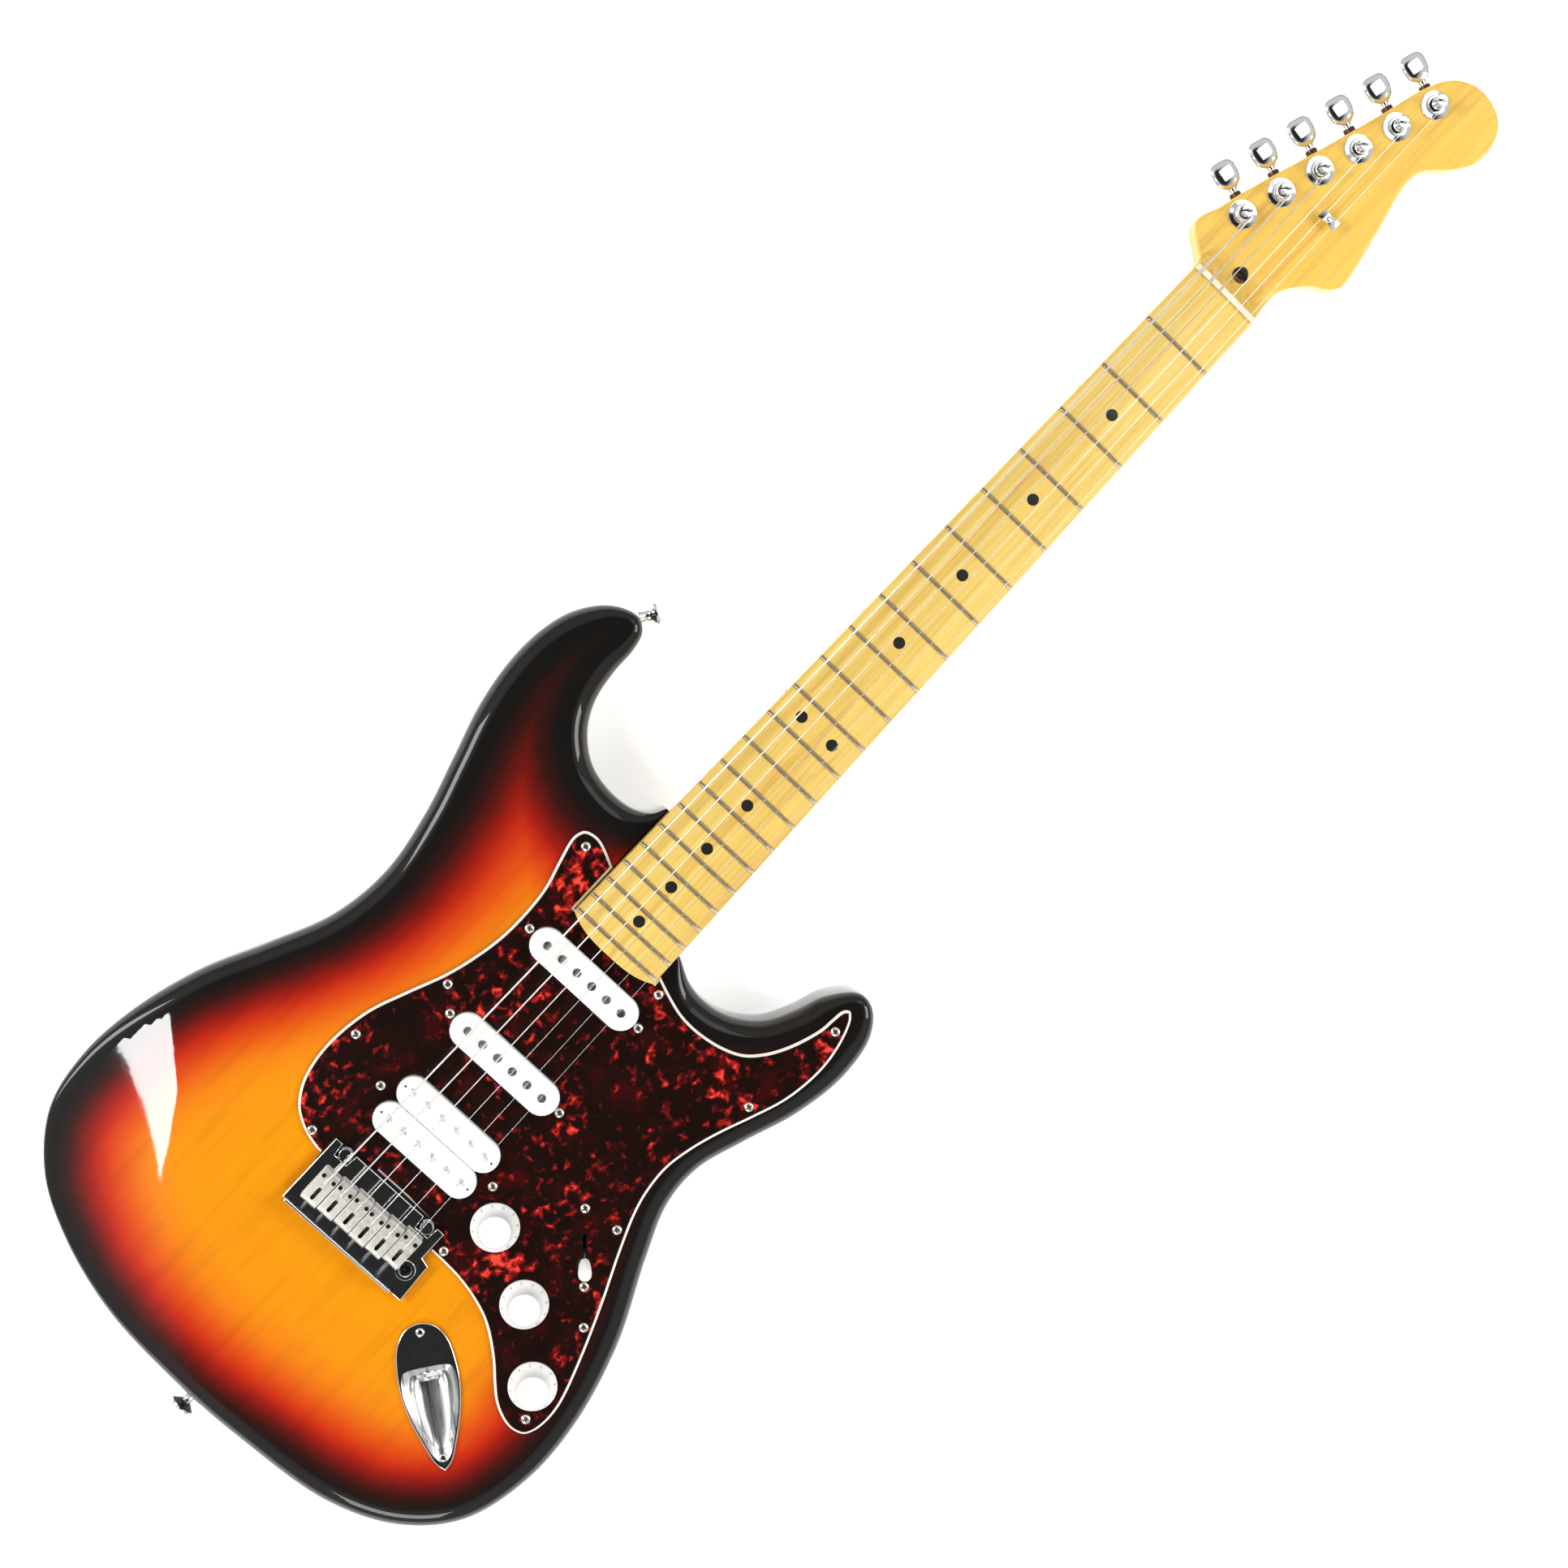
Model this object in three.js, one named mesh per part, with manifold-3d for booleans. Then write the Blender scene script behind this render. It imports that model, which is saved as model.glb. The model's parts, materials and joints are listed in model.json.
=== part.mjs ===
// Solid-body electric guitar, lying on its back. Millimetres, +X towards the headstock, +Y to the
// bass side, +Z out of the body's face. X = 0 is the scale line at the bridge, Y = 0 the centreline,
// and Z = 0 the plane of the back cover's and the neck plate's outer faces, on which it lies.
import * as THREE from 'three';
import { mergeVertices } from 'three/addons/utils/BufferGeometryUtils.js';
import Module from 'manifold-3d';

const wasm = await Module();
wasm.setup();
const { PI, sin, cos, sqrt, pow, min, max, abs } = Math;

// ---------------------------------------------------------------- driving dimensions
const GAP = 0.3;                     // clearance between pieces that touch on the real guitar
const MERGE = 1e-4;                  // vertices closer than this are one
const SCALE = 648;                   // nut to scale line
const FRETS = 22;
const BODY_T = 44.5;
const COVER_T = 1.9;                 // back cover and neck plate
const BACK = COVER_T + GAP;          // body's back face
const FACE = BACK + BODY_T;          // body's front face
const EDGE_R = 11;                   // roundover of the body's rim
const GUARD_T = 2.3;                 // three-ply pickguard
const GUARD_Z = FACE + GAP;
const GUARD_TOP = GUARD_Z + GUARD_T;
const BOARD_Z = FACE + 9.5;          // crown of the fingerboard
const BOARD_R = 241;                 // fingerboard radius
const BOARD_END = 174.5;
const HEEL_X = 181;                  // body end of the heel block
const HEEL_Z = FACE - 15.9;          // bottom of the heel
const HALF_NUT = 21.4;               // half width of the neck at the nut
const HALF_END = 28.2;               // half width of the neck at the fingerboard's end
const POCKET_HALF = HALF_END + 0.4;  // half width of the neck's pocket in the body
const HEEL_FADE = [232, 272];        // the square heel turns into the oval neck over this stretch
const HEAD_FADE = [628, 672];        // and the neck into the headstock over this one
const NUT_T = 3.4;
const HEAD_T = 14.3;                 // headstock thickness
const HEAD_Z = FACE - 1;             // headstock's face
const STRING_Z = FACE + 13.4;        // middle strings over the saddles
const STRING_NUT_Z = BOARD_Z + 1.8;  // underside of the strings at the nut
const BRIDGE_PITCH = 10.5;
const NUT_PITCH = 7;
const STRING_R = [0.58, 0.46, 0.33, 0.22, 0.17, 0.13];   // bass to treble
const PIVOT = [8, FACE + 4];         // tremolo's knife edge: X and Z
const PLATE_Z = FACE + 2.6;          // underside of the bridge plate
const PLATE_T = 2.4;
const TUNER_TILT = 0.2965;           // fall of the row of tuners across the headstock, radians
const TUNER_PITCH = 24.2;
const FIRST_POST = [689.4, 21.0];
const POST_R = 3.2;
const WORM_OFFSET = 9;               // from a post's axis to its key's axis
const STRINGS = [0, 1, 2, 3, 4, 5];  // bass to treble

// ---------------------------------------------------------------- colours
const paint = (color, roughness, metalness = 0) =>
  new THREE.MeshStandardMaterial({ color, roughness, metalness });
const SUNBURST = paint(0xd8641a, 0.18);
const MAPLE = paint(0xf0c070, 0.3);
const WALNUT = paint(0x54301c, 0.5);
const CHROME = paint(0xd8dade, 0.12, 1);
const STEEL = paint(0xc9c5bb, 0.3, 1);
const NICKEL_FRET = paint(0xc8c6be, 0.25, 1);
const TORTOISE = paint(0x3a0d0e, 0.15);
const WHITE = paint(0xf4f2ec, 0.3);
const CREAM = paint(0xefe6c4, 0.4);

const guitar = new THREE.Group();

function add(name, geometry, material) {
  const mesh = new THREE.Mesh(geometry, material);
  mesh.name = name;
  guitar.add(mesh);
  return mesh;
}

// ---------------------------------------------------------------- solids
function toSolid(geometry) {
  const bare = geometry.clone();
  bare.deleteAttribute('normal');
  bare.deleteAttribute('uv');
  const merged = mergeVertices(bare, MERGE);
  const index = merged.index.array;
  const kept = [];
  for (let i = 0; i < index.length; i += 3) {
    const [a, b, c] = [index[i], index[i + 1], index[i + 2]];
    if (a !== b && b !== c && a !== c) kept.push(a, b, c);
  }
  return new wasm.Manifold(new wasm.Mesh({
    numProp: 3,
    vertProperties: new Float32Array(merged.attributes.position.array),
    triVerts: new Uint32Array(kept),
  }));
}

function toGeometry(solid) {
  const mesh = solid.getMesh();
  const geometry = new THREE.BufferGeometry();
  const positions = new THREE.BufferAttribute(new Float32Array(mesh.vertProperties), 3);
  geometry.setAttribute('position', positions);
  geometry.setIndex(new THREE.BufferAttribute(new Uint32Array(mesh.triVerts), 1));
  return geometry;
}

const joined = (...solids) => solids.reduce((a, b) => a.add(b));
const cut = (solid, ...tools) => tools.reduce((a, b) => a.subtract(b), solid);

// The ring's two widest directions, as a flat outline.
function flattened(ring) {
  const spans = [0, 1, 2].map((k) => {
    const values = ring.map((p) => p[k]);
    return max(...values) - min(...values);
  });
  const [u, v] = [0, 1, 2].filter((k) => k !== spans.indexOf(min(...spans)));
  return ring.map((p) => new THREE.Vector2(p[u], p[v]));
}

// Closes a ring with triangles that run the ring's own way round, or against it.
function cap(index, ring, offset, along) {
  const outline = flattened(ring);
  const way = Math.sign(THREE.ShapeUtils.area(outline));
  for (const [a, b, c] of THREE.ShapeUtils.triangulateShape(outline, [])) {
    const turn = Math.sign(THREE.ShapeUtils.area([outline[a], outline[b], outline[c]]));
    if ((turn === way) === along) index.push(a + offset, b + offset, c + offset);
    else index.push(a + offset, c + offset, b + offset);
  }
}

// A closed skin over rings of equal length: each ring runs the same way, one after the other.
function loft(rings) {
  const n = rings[0].length;
  const positions = rings.flat(2);
  const index = [];
  for (let r = 0; r + 1 < rings.length; r += 1) {
    for (let i = 0; i < n; i += 1) {
      const a = r * n + i;
      const b = r * n + ((i + 1) % n);
      index.push(a, b, b + n, a, b + n, a + n);
    }
  }
  cap(index, rings[0], 0, false);
  cap(index, rings[rings.length - 1], (rings.length - 1) * n, true);
  const geometry = new THREE.BufferGeometry();
  geometry.setAttribute('position', new THREE.Float32BufferAttribute(positions, 3));
  geometry.setIndex(index);
  let solid = toSolid(geometry);
  if (solid.volume() < 0) {
    for (let i = 0; i < index.length; i += 3) {
      [index[i + 1], index[i + 2]] = [index[i + 2], index[i + 1]];
    }
    geometry.setIndex(index);
    solid = toSolid(geometry);
  }
  return solid;
}

function prism(outline, z0, z1) {
  const shape = new THREE.Shape(outline.map(([x, y]) => new THREE.Vector2(x, y)));
  const geometry = new THREE.ExtrudeGeometry(shape, { depth: z1 - z0, bevelEnabled: false });
  return toSolid(geometry.translate(0, 0, z0));
}

function box(x0, x1, y0, y1, z0, z1) {
  const geometry = new THREE.BoxGeometry(x1 - x0, y1 - y0, z1 - z0);
  return toSolid(geometry.translate((x0 + x1) / 2, (y0 + y1) / 2, (z0 + z1) / 2));
}

// Turned about Z: the profile is [radius, z] pairs that start and end on the axis, or close.
function turned(profile, sides, place = new THREE.Matrix4()) {
  const geometry = new THREE.LatheGeometry(profile.map(([r, z]) => new THREE.Vector2(r, z)), sides);
  geometry.rotateX(PI / 2);
  geometry.applyMatrix4(place);
  let solid = toSolid(geometry);
  if (solid.volume() < 0) {
    const index = geometry.index.array;
    for (let i = 0; i < index.length; i += 3) {
      [index[i + 1], index[i + 2]] = [index[i + 2], index[i + 1]];
    }
    solid = toSolid(geometry);
  }
  return solid;
}

const at = (x, y, z = 0) => new THREE.Matrix4().makeTranslation(x, y, z);
const rod = (r, z0, z1, sides, place) => turned([[0, z0], [r, z0], [r, z1], [0, z1]], sides, place);

// A frame whose local Z runs along `axis` from `origin`.
function aimed(origin, axis) {
  const z = new THREE.Vector3(...axis).normalize();
  const turn = new THREE.Quaternion().setFromUnitVectors(new THREE.Vector3(0, 0, 1), z);
  return new THREE.Matrix4().compose(
    new THREE.Vector3(...origin), turn, new THREE.Vector3(1, 1, 1));
}

// ---------------------------------------------------------------- outlines
// Points on a smooth curve through the given ones.
function smooth(points, closed, perSpan) {
  const curve = new THREE.CatmullRomCurve3(
    points.map(([x, y]) => new THREE.Vector3(x, y, 0)), closed, 'centripetal');
  const spans = closed ? points.length : points.length - 1;
  const all = curve.getPoints(spans * perSpan).map((p) => [p.x, p.y]);
  return closed ? all.slice(0, -1) : all;
}

function arc(cx, cy, r, from, to, steps) {
  const points = [];
  for (let i = 0; i <= steps; i += 1) {
    const a = from + ((to - from) * i) / steps;
    points.push([cx + r * cos(a), cy + r * sin(a)]);
  }
  return points;
}

// A slot with round ends, long in Y.
function stadium(cx, cy, width, length, steps = 6) {
  const r = width / 2;
  const reach = length / 2 - r;
  return [...arc(cx, cy + reach, r, 0, PI, steps), ...arc(cx, cy - reach, r, PI, 2 * PI, steps)];
}

function roundedBox(x0, x1, y0, y1, r, steps = 3) {
  return [
    ...arc(x1 - r, y0 + r, r, -PI / 2, 0, steps),
    ...arc(x1 - r, y1 - r, r, 0, PI / 2, steps),
    ...arc(x0 + r, y1 - r, r, PI / 2, PI, steps),
    ...arc(x0 + r, y0 + r, r, PI, 1.5 * PI, steps),
  ];
}

// The rim from the bass side of the neck joint, round both horns and the tail, to the treble side.
const RIM = [
  [251, 28.9], [244, 32.7], [239, 41], [237.5, 56], [241.5, 72.5], [253, 86.5], [267, 94], [284, 97],
  [300, 97.7], [309.5, 100.5], [314, 107], [313, 114.5], [306.5, 125], [292.5, 135], [275, 140],
  [253, 141], [225, 137], [193.5, 127.5], [163, 118.5], [127, 113], [93, 117.5], [59.5, 132],
  [26, 148], [-13, 159], [-46.5, 161.8], [-78, 155.5], [-105, 134.5], [-123, 103.5], [-136, 61.5],
  [-140.7, 9], [-140.5, -33.5], [-135.3, -90], [-120, -126.7], [-95, -150.7], [-58, -161],
  [-19, -159.5], [26, -147.5], [70.5, -126.7], [98.7, -115.6], [123, -114.6], [149, -122.7],
  [179.5, -133.6], [210.7, -138.6], [235, -135], [248, -124.5], [249.5, -114], [236, -101.5],
  [219.5, -95], [204, -86], [193.5, -71], [190.4, -56.5], [192, -44], [198.5, -30.5],
];
const HEEL_END = [[199.5, -28], [242, -28], [248, -25.5], [251, -19]];

const GUARD_BASS = [
  [-0.4, 40.5], [2, 50.6], [9, 62.6], [22.4, 70.9], [44.7, 74.1], [72.3, 69.9], [111, 54.1],
  [144.6, 46.4], [178, 47.3], [205.7, 54.4], [213.5, 52.1], [215.3, 43.1], [209.3, 28.6],
];
const GUARD_TREBLE = [
  [184.6, -28.6], [177.7, -49.7], [177.4, -67.7], [184, -88.7], [200, -102], [222, -110.2],
  [236, -112], [239, -115.6], [231, -120.9], [208, -125.4], [180, -121.9], [144.6, -108.2],
  [114, -100.4], [86.3, -104], [39.3, -124], [-10.6, -142.9], [-27.6, -144.8], [-39, -140.8],
  [-41.5, -131], [-35.6, -117], [-21.6, -102], [-8, -82.7], [-1.6, -59.7], [-0.4, -40.5],
];

// Headstock, from the bass side of the nut round the tip to the treble side.
const HEAD = [
  [652, 20.8], [656, 21.6], [660.5, 26.9], [665.3, 33.6], [670, 36.6], [675.5, 35.9], [683, 32.8],
  [697, 29.2], [740, 15.7], [783, 2.8], [808, -4.2], [821.5, -11.5], [828.5, -22], [829.3, -34],
  [824.5, -45.5], [813.5, -52], [799.5, -52], [787.5, -44.6], [776.5, -34.4], [765, -32.1],
  [737.5, -38], [712.5, -43.4], [701, -44.6], [695, -41.3], [690.3, -34], [683.3, -27.1],
  [674.5, -21.7], [664, -20.3], [652, -20.8],
];

const BODY_OUTLINE = [...smooth(RIM, false, 2), ...HEEL_END];
const GUARD_OUTLINE = [...smooth(GUARD_BASS, false, 2), ...smooth(GUARD_TREBLE, false, 2)];

// ---------------------------------------------------------------- places worked out from the above
const halfWidth = (x) => HALF_NUT + ((HALF_END - HALF_NUT) * (SCALE - x)) / (SCALE - BOARD_END);
const sag = (y) => BOARD_R - sqrt(BOARD_R * BOARD_R - y * y);
const fretX = (n) => SCALE * pow(2, -n / 12);
const bridgeY = (i) => (2.5 - i) * BRIDGE_PITCH;
const nutY = (i) => (2.5 - i) * NUT_PITCH;
const saddleZ = (i) => STRING_Z - sag(bridgeY(i));
const TUNER_ALONG = [cos(TUNER_TILT), -sin(TUNER_TILT)];
const TUNER_OUT = [sin(TUNER_TILT), cos(TUNER_TILT)];
const post = (i) => [
  FIRST_POST[0] + i * TUNER_PITCH * TUNER_ALONG[0],
  FIRST_POST[1] + i * TUNER_PITCH * TUNER_ALONG[1],
];
const SADDLE_REAR = [-22.6, -21.6, -20.6, -20.8, -20, -18.2];
const SADDLE_LENGTH = 20;
const BLOCK_HOLE_X = -12;

const NECK_PICKUP_X = 157;
const MIDDLE_PICKUP_X = 97;
const BOBBIN_X = [36.7, 54.7];
const VOLUME = [31, -54.7];
const TONES = [[11.5, -93.5], [-17.2, -126.2]];
const SWITCH = [54.1, -96.7];
const SWITCH_DIRECTION = [0.74, 0.673];
const ARM_HOLE = [-15.9, -35.3];
const ARM_HOLE_R = 3.1;
const STUD_Y = 28.2;                 // the bridge's two studs, either side of the centreline
const JACK = [-41, -71];             // centre of the jack plate's round end
const JACK_ALONG = [-0.6, -0.8];     // from there to its pointed end

// Where a point (u along the jack plate, v across it) lies.
const jackPoint = (u, v) => [
  JACK[0] + u * JACK_ALONG[0] - v * JACK_ALONG[1],
  JACK[1] + u * JACK_ALONG[1] + v * JACK_ALONG[0],
];
const mirrored = (half) => [
  ...half, ...half.slice().reverse().filter(([, v]) => v > 0).map(([u, v]) => [u, -v]),
];
const jackOutline = (half, perSpan) =>
  smooth(mirrored(half), true, perSpan).map(([u, v]) => jackPoint(u, v));

// ---------------------------------------------------------------- body
const NECK_CORNERS = [[251, 28], [199, -28]];
const HORN_TIPS = [[312, 108], [248, -118]];
const CORNER_FADE = 22;              // the roundover is full this far from a corner
const HEEL_SHOULDER = 195;
const away = (x, y, places) => min(...places.map((p) => Math.hypot(x - p[0], y - p[1])));

function bodyBlank() {
  const n = BODY_OUTLINE.length;
  const inward = BODY_OUTLINE.map((p, i) => {
    const a = BODY_OUTLINE[(i + n - 1) % n];
    const b = BODY_OUTLINE[(i + 1) % n];
    const length = Math.hypot(b[0] - a[0], b[1] - a[1]);
    return [-(b[1] - a[1]) / length, (b[0] - a[0]) / length];
  });
  // The roundover dies away towards the neck joint, and is smaller at the horns' tips.
  const radius = BODY_OUTLINE.map(([x, y]) => {
    if (abs(y) < POCKET_HALF && x > HEEL_SHOULDER) return 1;
    const atCorner = 1 + (EDGE_R - 1) * min(1, away(x, y, NECK_CORNERS) / CORNER_FADE);
    return min(atCorner, 5 + away(x, y, HORN_TIPS) / 5);
  });
  const ring = (turn, top) => BODY_OUTLINE.map((p, i) => {
    const inset = radius[i] * (1 - cos(turn));
    const fall = radius[i] * (1 - sin(turn));
    const z = top ? FACE - fall : BACK + fall;
    return [p[0] + inward[i][0] * inset, p[1] + inward[i][1] * inset, z];
  });
  return loft([ring(PI / 2, false), ring(PI / 4, false), ring(0, false),
    ring(0, true), ring(PI / 4, true), ring(PI / 2, true)]);
}

const CONTROL_CAVITY = [
  [19, -39], [47, -39], [70, -72], [80, -84], [74, -93], [44, -119.5], [30, -123.5], [0, -135.5],
  [-14, -140.5], [-27, -139], [-31.5, -131], [-30, -120], [-14, -103], [-1, -84], [16, -60],
];
const SPRING_CAVITY = { x0: -33, x1: 108, y0: -41, y1: 38, z1: FACE - 26.5 };

const CUT_REACH = 150;
const SCOOP_SIDES = 64;

// Each contour is deepest at `middle`, on the rim, where the rim runs `along` in plan, and falls
// outwards at `slope` (angles in radians). The forearm's is a plane, and the belly's a wide scoop.
function forearmContour(middle, along, slope, z) {
  const frame = new THREE.Matrix4().makeTranslation(...middle, z)
    .multiply(new THREE.Matrix4().makeRotationZ(along))
    .multiply(new THREE.Matrix4().makeRotationX(-slope));
  const plane = new THREE.BoxGeometry(2 * CUT_REACH, 2 * CUT_REACH, BODY_T);
  return toSolid(plane.translate(0, 0, BODY_T / 2).applyMatrix4(frame));
}

function bellyContour(radius, middle, along, slope, z) {
  const out = [-sin(along), cos(along)];
  const axis = [out[0] * cos(slope), out[1] * cos(slope), sin(slope)];
  const down = [out[0] * sin(slope), out[1] * sin(slope), -cos(slope)];
  const centre = [0, 1, 2].map((k) => [...middle, z][k] + radius * down[k]);
  return rod(radius, -CUT_REACH, CUT_REACH, SCOOP_SIDES, aimed(centre, axis));
}

const FOREARM = forearmContour([-92, 147], 0.69, 0.17, FACE - 10.9);
const BELLY = bellyContour(210, [112, 113], -0.05, 0.36, BACK + 15);

const JACK_CAVITY = [[-12, 0], [-9, 8], [0, 12.5], [14, 14.2], [26, 14.2], [38, 11.6], [50, 7.8],
  [60, 0]];

// A rout goes from the body's face down to `deep`.
const rout = (x0, x1, half, deep) => box(x0, x1, -half, half, FACE - deep, FACE + 1);
const PICKUP_DEEP = 19;
const body = cut(
  bodyBlank(), FOREARM, BELLY,
  rout(HEEL_X - GAP, HEEL_X + 90, POCKET_HALF, FACE - HEEL_Z + GAP),
  ...[NECK_PICKUP_X, MIDDLE_PICKUP_X].map((x) => rout(x - 12, x + 12, 44, PICKUP_DEEP)),
  rout(BOBBIN_X[0] - 12.7, BOBBIN_X[1] + 12.3, 45, PICKUP_DEEP),
  prism(CONTROL_CAVITY, FACE - 34, FACE + 1),
  box(-27.5, -3, -37, 35, BACK - 1, FACE + 1),
  box(-27.5, -6.5, -41, -36, BACK - 1, FACE + 1),
  box(SPRING_CAVITY.x0, SPRING_CAVITY.x1, SPRING_CAVITY.y0, SPRING_CAVITY.y1,
    BACK - 1, SPRING_CAVITY.z1),
  prism(jackOutline(JACK_CAVITY, 1), FACE - 28, FACE + 1),
  ...[STUD_Y, -STUD_Y].map((y) => rod(3.4, FACE - 20, FACE + 1, 10, at(PIVOT[0], y))),
);
add('body', toGeometry(body), SUNBURST);

// ---------------------------------------------------------------- neck
const BOARD_STEPS = 6;
const BACK_STEPS = 12;

// One cross-section of the neck: round fingerboard on top, and a back that is square at the heel
// and oval along the neck.
function neckSection(x) {
  const half = halfWidth(min(x, SCALE + NUT_T));
  const points = [];
  for (let i = 0; i <= BOARD_STEPS; i += 1) {
    const y = -half + (2 * half * i) / BOARD_STEPS;
    points.push([x, y, BOARD_Z - sag(y)]);
  }
  const out = THREE.MathUtils.smoothstep(x, ...HEEL_FADE);
  const head = THREE.MathUtils.smoothstep(x, ...HEAD_FADE);
  const shaft = 21 + (2.2 * (SCALE - x)) / (SCALE - 260);
  const along = THREE.MathUtils.lerp(BOARD_Z - HEEL_Z, shaft, out);
  const depth = THREE.MathUtils.lerp(along, BOARD_Z - (HEAD_Z - HEAD_T), head);
  const square = THREE.MathUtils.lerp(THREE.MathUtils.lerp(0.08, 0.86, out), 0.2, head);
  const shoulder = BOARD_Z - sag(half) - 3.5;
  for (let i = 0; i <= BACK_STEPS; i += 1) {
    const a = (PI * i) / BACK_STEPS;
    const y = half * Math.sign(cos(a)) * pow(abs(cos(a)), square);
    const z = shoulder - (depth - (BOARD_Z - shoulder)) * pow(sin(a), square);
    points.push([x, y, z]);
  }
  return points;
}

// The slope from the nut down to the headstock's face.
function headSlope() {
  const steps = [[SCALE + NUT_T - 1, BOARD_Z - 0.6], [SCALE + NUT_T + 2.5, BOARD_Z - 1.2],
    [657, BOARD_Z - 4.6], [661, BOARD_Z - 7.4], [666, BOARD_Z - 9.4], [674, HEAD_Z]];
  return loft(steps.map(([x, z]) => {
    const half = x > 664 ? 20 : 20.8;
    return [[x, -half, HEAD_Z - 6], [x, half, HEAD_Z - 6], [x, half, z - 1], [x, half - 1.5, z],
      [x, 0, z + 0.6], [x, -half + 1.5, z], [x, -half, z - 1]];
  }));
}

// The fingerboard runs on past the heel, over the pickguard, with a bowed end.
function overhang() {
  const slab = loft([BOARD_END - 5, HEEL_X + 1].map((x) => [
    [x, 28, GUARD_TOP + 0.7], [x, -28, GUARD_TOP + 0.7],
    ...[-28, -18.8, -9.4, 0, 9.4, 18.8, 28].map((y) => [x, y, BOARD_Z - sag(y)]),
  ]));
  const bow = [[BOARD_END, 0], [BOARD_END + 0.5, 12], [BOARD_END + 1.6, 22], [BOARD_END + 5, 27]];
  const outline = [
    ...bow.slice().reverse().map(([x, y]) => [x, -y]).slice(0, 3), ...bow,
    [HEEL_X + 1, 28.1], [HEEL_X + 1, -28.1],
  ];
  return slab.intersect(prism(outline.reverse(), FACE, BOARD_Z + 2));
}

const FRET_SPINE = { z0: BOARD_Z - 5.5, z1: BOARD_Z - 4, half: 1.5 };
const ROD_Z = BOARD_Z - 11;           // truss rod's axis
const PLUG_FRAME = aimed([664, 0, HEAD_Z + 1], [0.8, 0, 0.6]);
const STRIPE = { x0: 262, x1: 630, half: 3, z1: ROD_Z - 4.2 };
// Under the headstock's face the neck's top stays below that face.
const lowSection = (x) => neckSection(x).map(([px, y, z]) => [px, y, min(z, HEAD_Z - 2 - sag(y))]);
const neckBlank = joined(
  loft([HEEL_X, 234, 243, 252, 262, 272, 400, 628, 640, 654].map(neckSection)),
  loft([654, 663, 672].map(lowSection)),
  headSlope(),
  prism(smooth(HEAD, false, 1), HEAD_Z - HEAD_T, HEAD_Z),
  overhang(),
);
let neck = cut(
  neckBlank,
  box(STRIPE.x0 - GAP, STRIPE.x1 + GAP, -STRIPE.half - GAP, STRIPE.half + GAP,
    BACK, STRIPE.z1 + GAP),
  box(SCALE - GAP, SCALE + NUT_T + GAP, -30, 30, BOARD_Z - 3.3, BOARD_Z + 5),
  box(HEEL_X - 1, 634, -3.6, 3.6, ROD_Z - 3.6, ROD_Z + 3.6),
  box(HEEL_X - 4, 616, -FRET_SPINE.half - GAP, FRET_SPINE.half + GAP,
    FRET_SPINE.z0 - GAP, FRET_SPINE.z1 + GAP),
  rod(4.5, -13, 8, 10, PLUG_FRAME),
);
for (let n = 1; n <= FRETS; n += 1) {
  neck = cut(neck, box(fretX(n) - 0.7, fretX(n) + 0.7, -FRET_SPINE.half - GAP,
    FRET_SPINE.half + GAP, FRET_SPINE.z0, BOARD_Z + 1));
}
for (const i of STRINGS) {
  neck = cut(neck, rod(5.3, HEAD_Z - HEAD_T - 1, HEAD_Z + 1, 10, at(...post(i))));
}
add('neck', toGeometry(neck), MAPLE);

// ---------------------------------------------------------------- what is let into the neck
// The frets follow the fingerboard's round top. They are one solid on a thin spine below the board.
function fretSolid(n) {
  const x = fretX(n);
  const half = halfWidth(x) - 0.3;
  const ring = (y) => {
    const z = BOARD_Z + GAP - sag(y);
    return [[x - 1.3, y, z], [x - 0.6, y, z + 0.9], [x + 0.6, y, z + 0.9], [x + 1.3, y, z]];
  };
  const crown = loft([-half, -half / 3, half / 3, half].map(ring));
  return crown.add(box(x - 0.4, x + 0.4, -1.4, 1.4, FRET_SPINE.z0 + 0.5, BOARD_Z + 0.8));
}
const spine = box(fretX(FRETS) - 1, fretX(1) + 1, -FRET_SPINE.half, FRET_SPINE.half,
  FRET_SPINE.z0, FRET_SPINE.z1);
const crowns = Array.from({ length: FRETS }, (_, i) => fretSolid(i + 1));
add('frets', toGeometry(joined(spine, ...crowns)), NICKEL_FRET);

add('truss_rod', toGeometry(joined(
  rod(2.6, 0, 440, 8, aimed([190, 0, ROD_Z], [1, 0, 0])),
  rod(3.2, 0, 8, 8, aimed([184, 0, ROD_Z], [1, 0, 0])),
)), STEEL);

add('truss_rod_plug', toGeometry(
  rod(4.1, -12.6, -0.6, 10, PLUG_FRAME).subtract(rod(2.1, -9, 3, 6, PLUG_FRAME))), WALNUT);

add('skunk_stripe', toGeometry(neckBlank.intersect(
  box(STRIPE.x0, STRIPE.x1, -STRIPE.half, STRIPE.half, BACK, STRIPE.z1))), WALNUT);

add('nut', toGeometry(loft([SCALE, SCALE + NUT_T].map((x) => [
  [x, 20.9, BOARD_Z - 3], [x, -20.9, BOARD_Z - 3],
  ...[-20.9, -12, 0, 12, 20.9].map((y) => [x, y, STRING_NUT_Z - GAP - sag(y)]),
]))), CREAM);

// ---------------------------------------------------------------- pickguard and pickups
const COVER_SIZE = [19.2, 71.2];     // single-coil cover, along and across the strings
const BOBBIN_SIZE = [17.9, 66.6];
const COIL_SIZE = [15, 66];
const COVER_WALL = 1.2;
const COVER_TOP = FACE + 7.6;
const POLE_TOP = FACE + 8.6;
const POLE_R = 2.4;
const poleY = (i, pitch) => (2.5 - i) * pitch;
const COVER_POLES = 10.4;            // pitch of a single coil's poles
const BOBBIN_POLES = 10;             // and of the humbucker's
const grown = ([width, length], by) => [width + by, length + by];

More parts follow.
